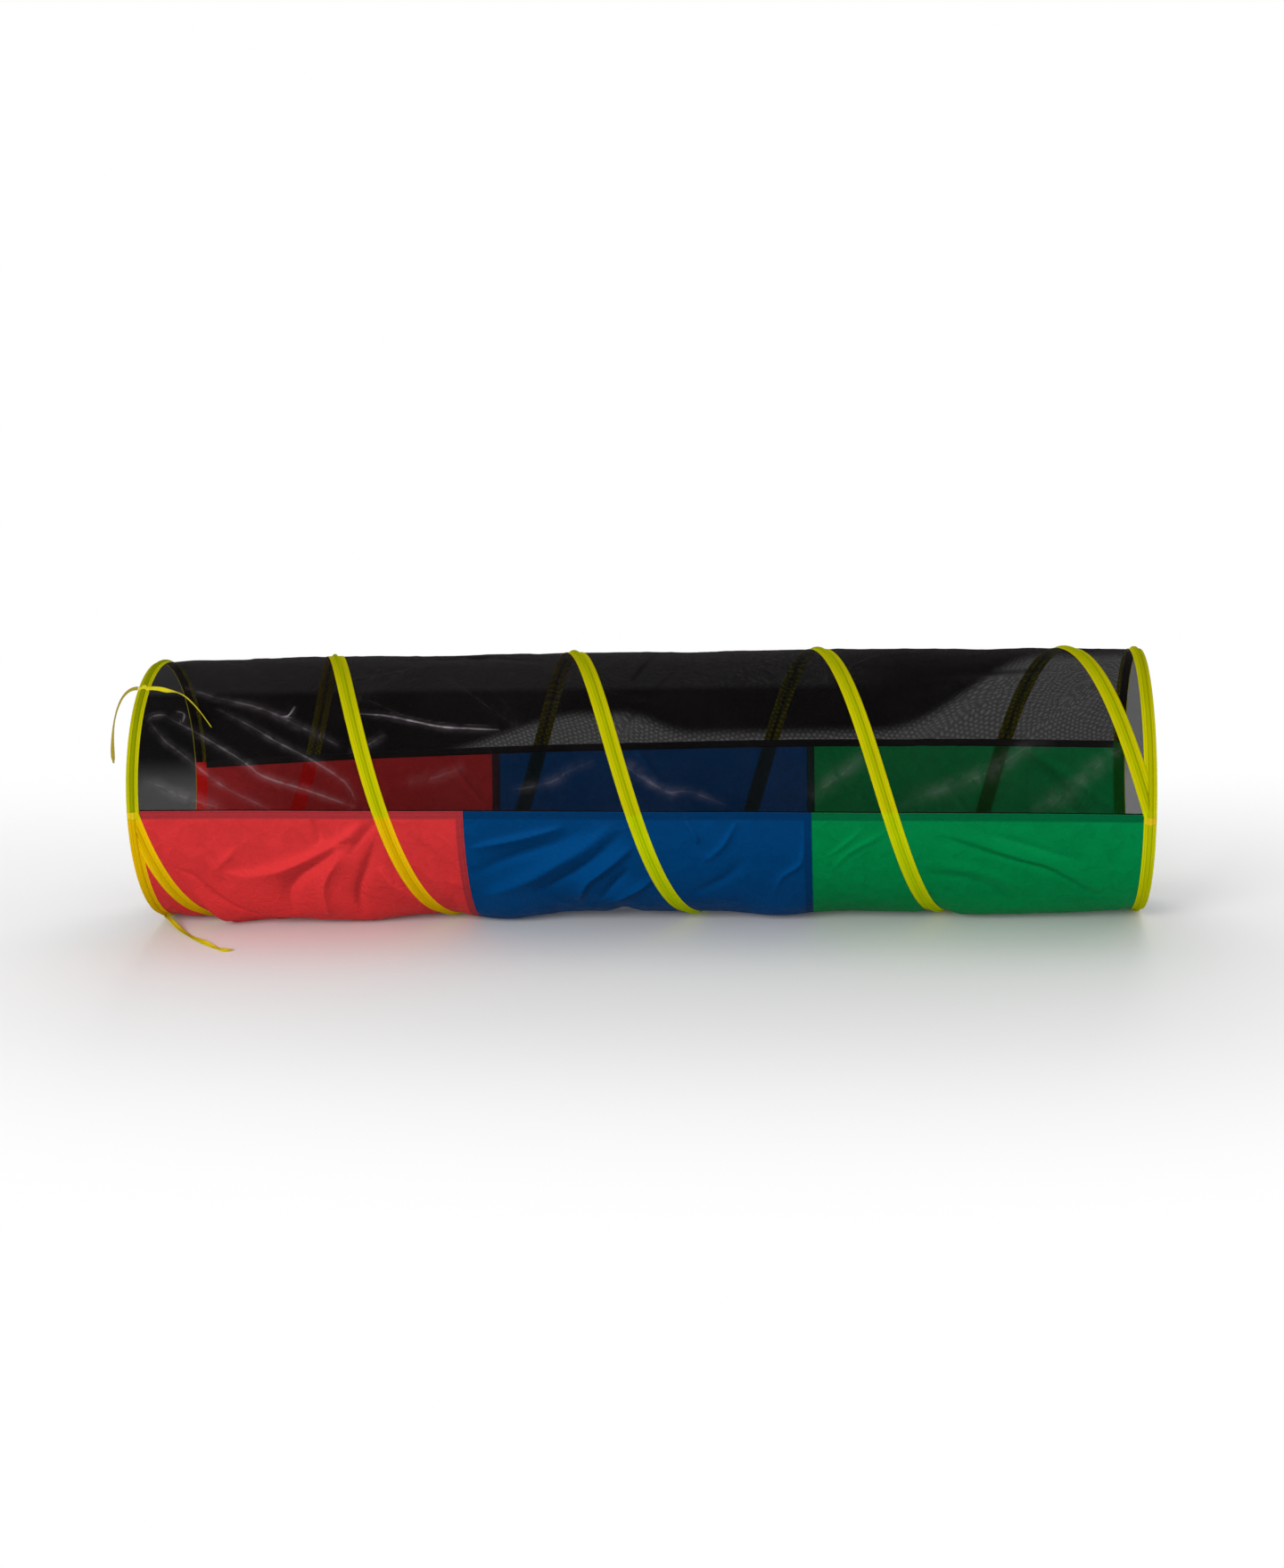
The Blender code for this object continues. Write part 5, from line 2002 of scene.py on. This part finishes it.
@dataclass(frozen=True)
class Studio:
    """The plain pale floor, the lamps and the viewer's camera, with painted light and shade where the floor
    and background are seen through the net.

    A span gives where a climb starts and stops, and its values there if they aren't 0 and 1.
    """

    floor_radius: float = 16.0
    floor_tone: float = 0.89
    # The painted brightness of the background and floor seen through the net, as strengths.
    through_net: float = 0.20
    through_net_dark: float = 0.008
    through_net_lit: float = 0.245
    through_net_far: float = 0.040
    through_net_close: float = 0.125
    lit_edge: tuple[Span, ...] = (
        (-0.65, -0.30, 1.30, 1.76),
        (-0.20, 0.00, 0.0, -0.24),
        (0.45, 0.94, 0.0, 0.95),
    )
    lit_across: Span = (-0.16, 0.08, 1.0, 0.0)
    lit_along: Span = (-0.95, -0.60)
    far_across: Span = (2.00, 2.10)
    far_along: Span = (0.25, 0.55, 1.0, 0.0)
    close_across: Span = (0.9, 1.3)
    floor_squeeze: Triple = (0.55, 1.0, 0.0)
    floor_fade: Span = (0.45, 1.5)
    floor_sides: int = 96
    aim: Triple = (0.0, 0.0, 0.24)
    daylight: float = 0.40
    viewer: Triple = (0.3591, -4.28, 1.2879)
    heading: float = 4.831
    dip: float = 13.737
    roll: float = -1.685
    focal_pixels: float = 2700.7
    image_height: float = 1759.0
    sensor: float = 36.0

    def backdrop(self, bench: Bench) -> tuple[Socket, Socket]:
        """Whether a ray looks at the background, and whether it does so through the net.

        A ray's transparent depth counts the holes of the net that it has passed.
        """
        path = bench.add("LightPath").outputs
        looks = bench.sum("MAXIMUM", path["Is Camera Ray"], path["Is Glossy Ray"])
        looks = bench.sum("MAXIMUM", looks, path["Is Transmission Ray"])
        screened = bench.climb(path["Transparent Depth"], 0.25, 0.75)
        return looks, bench.sum("MULTIPLY", screened, path["Is Camera Ray"])

    def light_world(self) -> None:
        """Even daylight from all round, and a white background, painted darker as shade where it is seen
        through the net.
        """
        world = bpy.data.worlds.new("studio")
        bpy.context.scene.world = world
        world.use_nodes = True
        world.node_tree.nodes.clear()
        bench = Bench(world.node_tree)
        looks, screened = self.backdrop(bench)
        # Painted shade: the background is darker where it is seen through the net.
        bright = bench.climb(screened, 0.0, 1.0, 1.0, self.through_net)
        lit = bench.add("Background", {"Color": WHITE, "Strength": self.daylight})
        seen = bench.add("Background", {"Color": WHITE, "Strength": bright})
        mixed = bench.add("MixShader", {0: looks, 1: lit.outputs[0], 2: seen.outputs[0]})
        bench.feed(bench.add("OutputWorld").inputs["Surface"], mixed.outputs[0])

    def painted_through_net(self, bench: Bench, along: object, away: object) -> Socket:
        """The painted light and shade of the floor seen through the net.

        Args:
            bench: the floor's bench.
            along: places on the floor along X.
            away: how far behind the tunnel they lie.

        Returns:
            The strength of the painted light: lit close behind the tunnel and on its right, and dark past
                that.
        """
        edge = bench.climb(along, *self.lit_edge[0])
        for span in self.lit_edge[1:]:
            edge = bench.sum("ADD", edge, bench.climb(along, *span))
        lit = bench.climb(bench.sum("SUBTRACT", away, edge), *self.lit_across)
        lit = bench.sum("MULTIPLY", lit, bench.climb(along, *self.lit_along))
        dim = bench.climb(lit, 0.0, 1.0, self.through_net_dark, self.through_net_lit)
        far = bench.climb(along, *self.far_along)
        far = bench.sum("MULTIPLY", bench.climb(away, *self.far_across), far)
        dim = bench.sum("MULTIPLY_ADD", far, self.through_net_far, dim)
        return bench.sum("ADD", dim, bench.climb(away, *self.close_across, self.through_net_close, 0.0))

    def lay_floor(self) -> None:
        """A round floor that fades to the white background away from the tunnel."""
        shape = bmesh.new()
        bmesh.ops.create_circle(shape, cap_ends=True, segments=self.floor_sides, radius=self.floor_radius)
        floor = new_piece("studio_floor", shape)
        material = bpy.data.materials.new("studio_floor")
        material.use_nodes = True
        material.node_tree.nodes.clear()
        bench = Bench(material.node_tree)
        looks, screened = self.backdrop(bench)
        place = bench.place()
        parts = bench.split(place)
        # Painted light and shade on the floor where it is seen through the net.
        bright = bench.climb(screened, 0.0, 1.0, 1.0, self.painted_through_net(bench, parts[0], parts[1]))
        squeezed = bench.vector("MULTIPLY", place, self.floor_squeeze)
        away = bench.vector("LENGTH", squeezed.outputs[0]).outputs["Value"]
        faded = bench.climb(away, *self.floor_fade)
        glows = bench.sum("MULTIPLY", looks, bench.sum("MAXIMUM", faded, screened))
        pale = bench.add("BsdfDiffuse", {"Color": (self.floor_tone,) * 3 + (1.0,)})
        white = bench.add("Emission", {"Color": WHITE, "Strength": bright})
        mixed = bench.add("MixShader", {0: glows, 1: pale.outputs[0], 2: white.outputs[0]})
        bench.feed(bench.add("OutputMaterial").inputs["Surface"], mixed.outputs[0])
        floor.data.materials.append(material)
        floor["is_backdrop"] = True

    def set_camera(self) -> None:
        """Places the camera where the photograph was taken from."""
        camera = bpy.data.cameras.new("viewer")
        camera.sensor_width = self.sensor
        camera.lens = self.focal_pixels / self.image_height * self.sensor
        held = bpy.data.objects.new("viewer", camera)
        turned = (
            Matrix.Rotation(math.radians(self.heading), 4, "Z")
            @ Matrix.Rotation(math.radians(90.0 - self.dip), 4, "X")
            @ Matrix.Rotation(math.radians(self.roll), 4, "Z")
        )
        held.matrix_world = Matrix.Translation(self.viewer) @ turned
        bpy.context.scene.collection.objects.link(held)
        bpy.context.scene.camera = held

    def build(self) -> None:
        """Sets up the whole studio."""
        bpy.context.scene.view_settings.view_transform = "Standard"
        self.light_world()
        self.lay_floor()
        for lamp in LAMPS:
            lamp.hang(Vector(self.aim))
        self.set_camera()


@dataclass(frozen=True)
class PanelLook:
    """The colours of a panel's cloth, with the painted light or shade where a tape backs it, how strongly
    light comes through it, and how strongly the painted highlight and shade of its folds show.
    """

    cloth: Colour
    band: Colour
    painted_backing: Colour
    see_through: float
    contrast: float


# Each look gives the cloth, its band, the painted light or shade where a tape backs it, how much light passes
# through, and how strongly the painted fold highlight and shade show.
PANEL_LOOKS = {
    Bay.RED: PanelLook(screen(196, 49, 51), screen(153, 46, 52), screen(245, 15, 11), 0.28, 0.9),
    Bay.BLUE: PanelLook(screen(0, 63, 115), screen(0, 54, 101), screen(14, 54, 62), 0.42, 1.35),
    Bay.GREEN: PanelLook(screen(0, 128, 68), screen(0, 102, 60), screen(2, 110, 26), 0.42, 0.9),
}
# The tapes' tones under painted light from the cloth beneath: warm over red, cool over blue and green.
WARM_PAINTED_TAPE = TapeTones(screen(210, 166, 8), screen(190, 152, 3))
COOL_PAINTED_TAPE = TapeTones(screen(178, 186, 5), screen(157, 178, 3))
THREAD_SHADE = 0.6


@dataclass(frozen=True)
class PlayTunnel:
    """The whole tunnel."""

    sleeve: Sleeve
    lay: ClothLay
    effects: Effects
    joint_shift: float = 0.010
    fold_gap: float = 0.0003
    panel_hem: float = 0.0014
    lap_turns: Pair = (-3.3, 2.6)

    @property
    def left(self) -> float:
        """The place along X that most cloth and tape is pressed flat to."""
        return -self.sleeve.binding_edge - self.fold_gap

    @property
    def joints(self) -> Pair:
        """Where the panels' two joints lie along X, as the photograph shows them."""
        return -self.sleeve.joint, self.sleeve.joint + self.joint_shift

    @property
    def middles(self) -> dict[Bay, float]:
        """The places along X that the panels are pressed flat to."""
        return {Bay.RED: -2 * self.sleeve.joint, Bay.BLUE: 0.0, Bay.GREEN: 2 * self.sleeve.joint}

    def tape_finish(self, name: str, plain: TapeTones, cool_painted_light: TapeTones = COOL_PAINTED_TAPE) -> Material:
        """A yellow tape's finish, from its colours over the net and under painted light over blue and green
        cloth.
        """
        finish = TapeFinish(name, plain, WARM_PAINTED_TAPE, cool_painted_light, self.sleeve.axis, -self.sleeve.joint)
        return finish.material(self.effects)

    def build_frame(self, steel: Material) -> None:
        """Makes the ties, the bindings, the coil wire and its tape."""
        sleeve, effects = self.sleeve, self.effects
        tape = self.tape_finish("coil_tape", TapeTones(screen(179, 173, 5), screen(153, 160, 2)))
        # The left binding's ridge is painted darker than the right one's, as shade on its curve.
        left_tape = self.tape_finish(
            "left_binding_tape", TapeTones(screen(180, 176, 8), screen(126, 134, 2))
        )
        right_tape = self.tape_finish(
            "right_binding_tape",
            TapeTones(screen(184, 180, 6), screen(154, 156, 2)),
            TapeTones(screen(182, 184, 6), screen(158, 164, 3)),
        )
        thread = PlainFinish("yellow_thread", screen(176, 168, 20), 0.6).material(effects)
        lap_tape = PlainFinish("lapped_tape", screen(198, 172, 6), 0.6).material(effects)
        tie_tape = PlainFinish("tie_tape", screen(206, 194, 16), 0.55).material(effects)
        # A darker copy of the tie tape, as painted shade.
        tie_painted_shade = PlainFinish("tie_tape_painted_shade", screen(150, 134, 34), 0.6).material(effects)
        bindings = [
            EndBinding(sleeve, end, binding_tape, lap_tape, thread, lap_turn)
            for end, binding_tape, lap_turn in zip(End, (left_tape, right_tape), self.lap_turns)
        ]
        Ties(bindings[0], tie_tape, tie_painted_shade, self.left).build()
        for binding in bindings:
            binding.build()
        CoilWire(sleeve, steel, self.left).build()
        CoilTape(sleeve, tape, thread, self.left).build()

    def build_panel(self, bay: Bay, span: Pair) -> None:
        """Makes one floor panel between two places along X."""
        look, sleeve = PANEL_LOOKS[bay], self.sleeve
        finish = PanelFinish(
            f"{bay.value}_cloth",
            look.cloth,
            look.band,
            look.painted_backing,
            float(self.lay.arc(sleeve.far_seam(0.0) - sleeve.near_seam(0.0))),
            None if bay is Bay.GREEN else span[1],
            look.see_through,
            look.contrast,
        )
        thread = PlainFinish(f"{bay.value}_thread", shade(look.band, THREAD_SHADE), 0.6)
        cloth, seam = finish.material(self.effects), thread.material(self.effects)
        FloorPanel(self.lay, bay, span, self.middles[bay], cloth, seam).build()

    def build_cloth(self) -> None:
        """Makes the panels, the net and the strips inside."""
        reach = self.sleeve.end - self.panel_hem
        stops = (-reach, *self.joints, reach)
        for bay, span in zip(Bay, zip(stops, stops[1:])):
            self.build_panel(bay, span)
        MeshRoof(self.lay, NetFinish().material(self.effects), self.left).build()
        strip, *joint_strips = (
            PlainFinish(name, colour, 0.7).material(self.effects)
            for name, colour in (
                ("black_strip", screen(17, 17, 18)),
                ("red_blue_strip", screen(62, 34, 44)),
                ("blue_green_strip", screen(8, 54, 48)),
            )
        )
        folds_to = {"sides": self.left, "blue": self.middles[Bay.BLUE]}
        SeamStrips(self.lay, strip, tuple(joint_strips), self.joints, folds_to).build()

    def carry_over(self, steel: Material) -> None:
        """Gives the frame's own hoop wires and ferrules their finish."""
        crimp = PlainFinish("crimped_steel", screen(160, 160, 163), 0.42, 1.0, 500.0)
        finishes = {"wire": steel, "ferrule": crimp.material(self.effects)}
        for part, finish in finishes.items():
            for end in End:
                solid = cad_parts[f"{end.label}_hoop_{part}"]
                solid.data.materials.clear()
                solid.data.materials.append(finish)
                LOG.info("%s: carried over in %s", solid.name, finish.name)

    def build(self) -> None:
        """Builds each sub-assembly in order, cords first."""
        steel = PlainFinish("spring_steel", screen(126, 128, 132), 0.34, 1.0, 400.0)
        hardened = steel.material(self.effects)
        self.build_frame(hardened)
        self.build_cloth()
        self.carry_over(hardened)


def corners(box: tuple[Places, Places]) -> list[list[float]]:
    """A box's two corners as plain lists."""
    return [[float(value) for value in corner] for corner in box]


def main() -> None:
    """Dresses the tunnel and sets up the studio."""
    logging.basicConfig(level=logging.INFO, format="%(name)s: %(message)s")
    sleeve = Sleeve.from_frame()
    Studio().build()
    PlayTunnel(sleeve, ClothLay.dressed(sleeve), Effects(sleeve)).build()
    {"cad": corners(CAD_BOX), "visual": corners(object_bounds())}


if __name__ == "__main__":
    main()
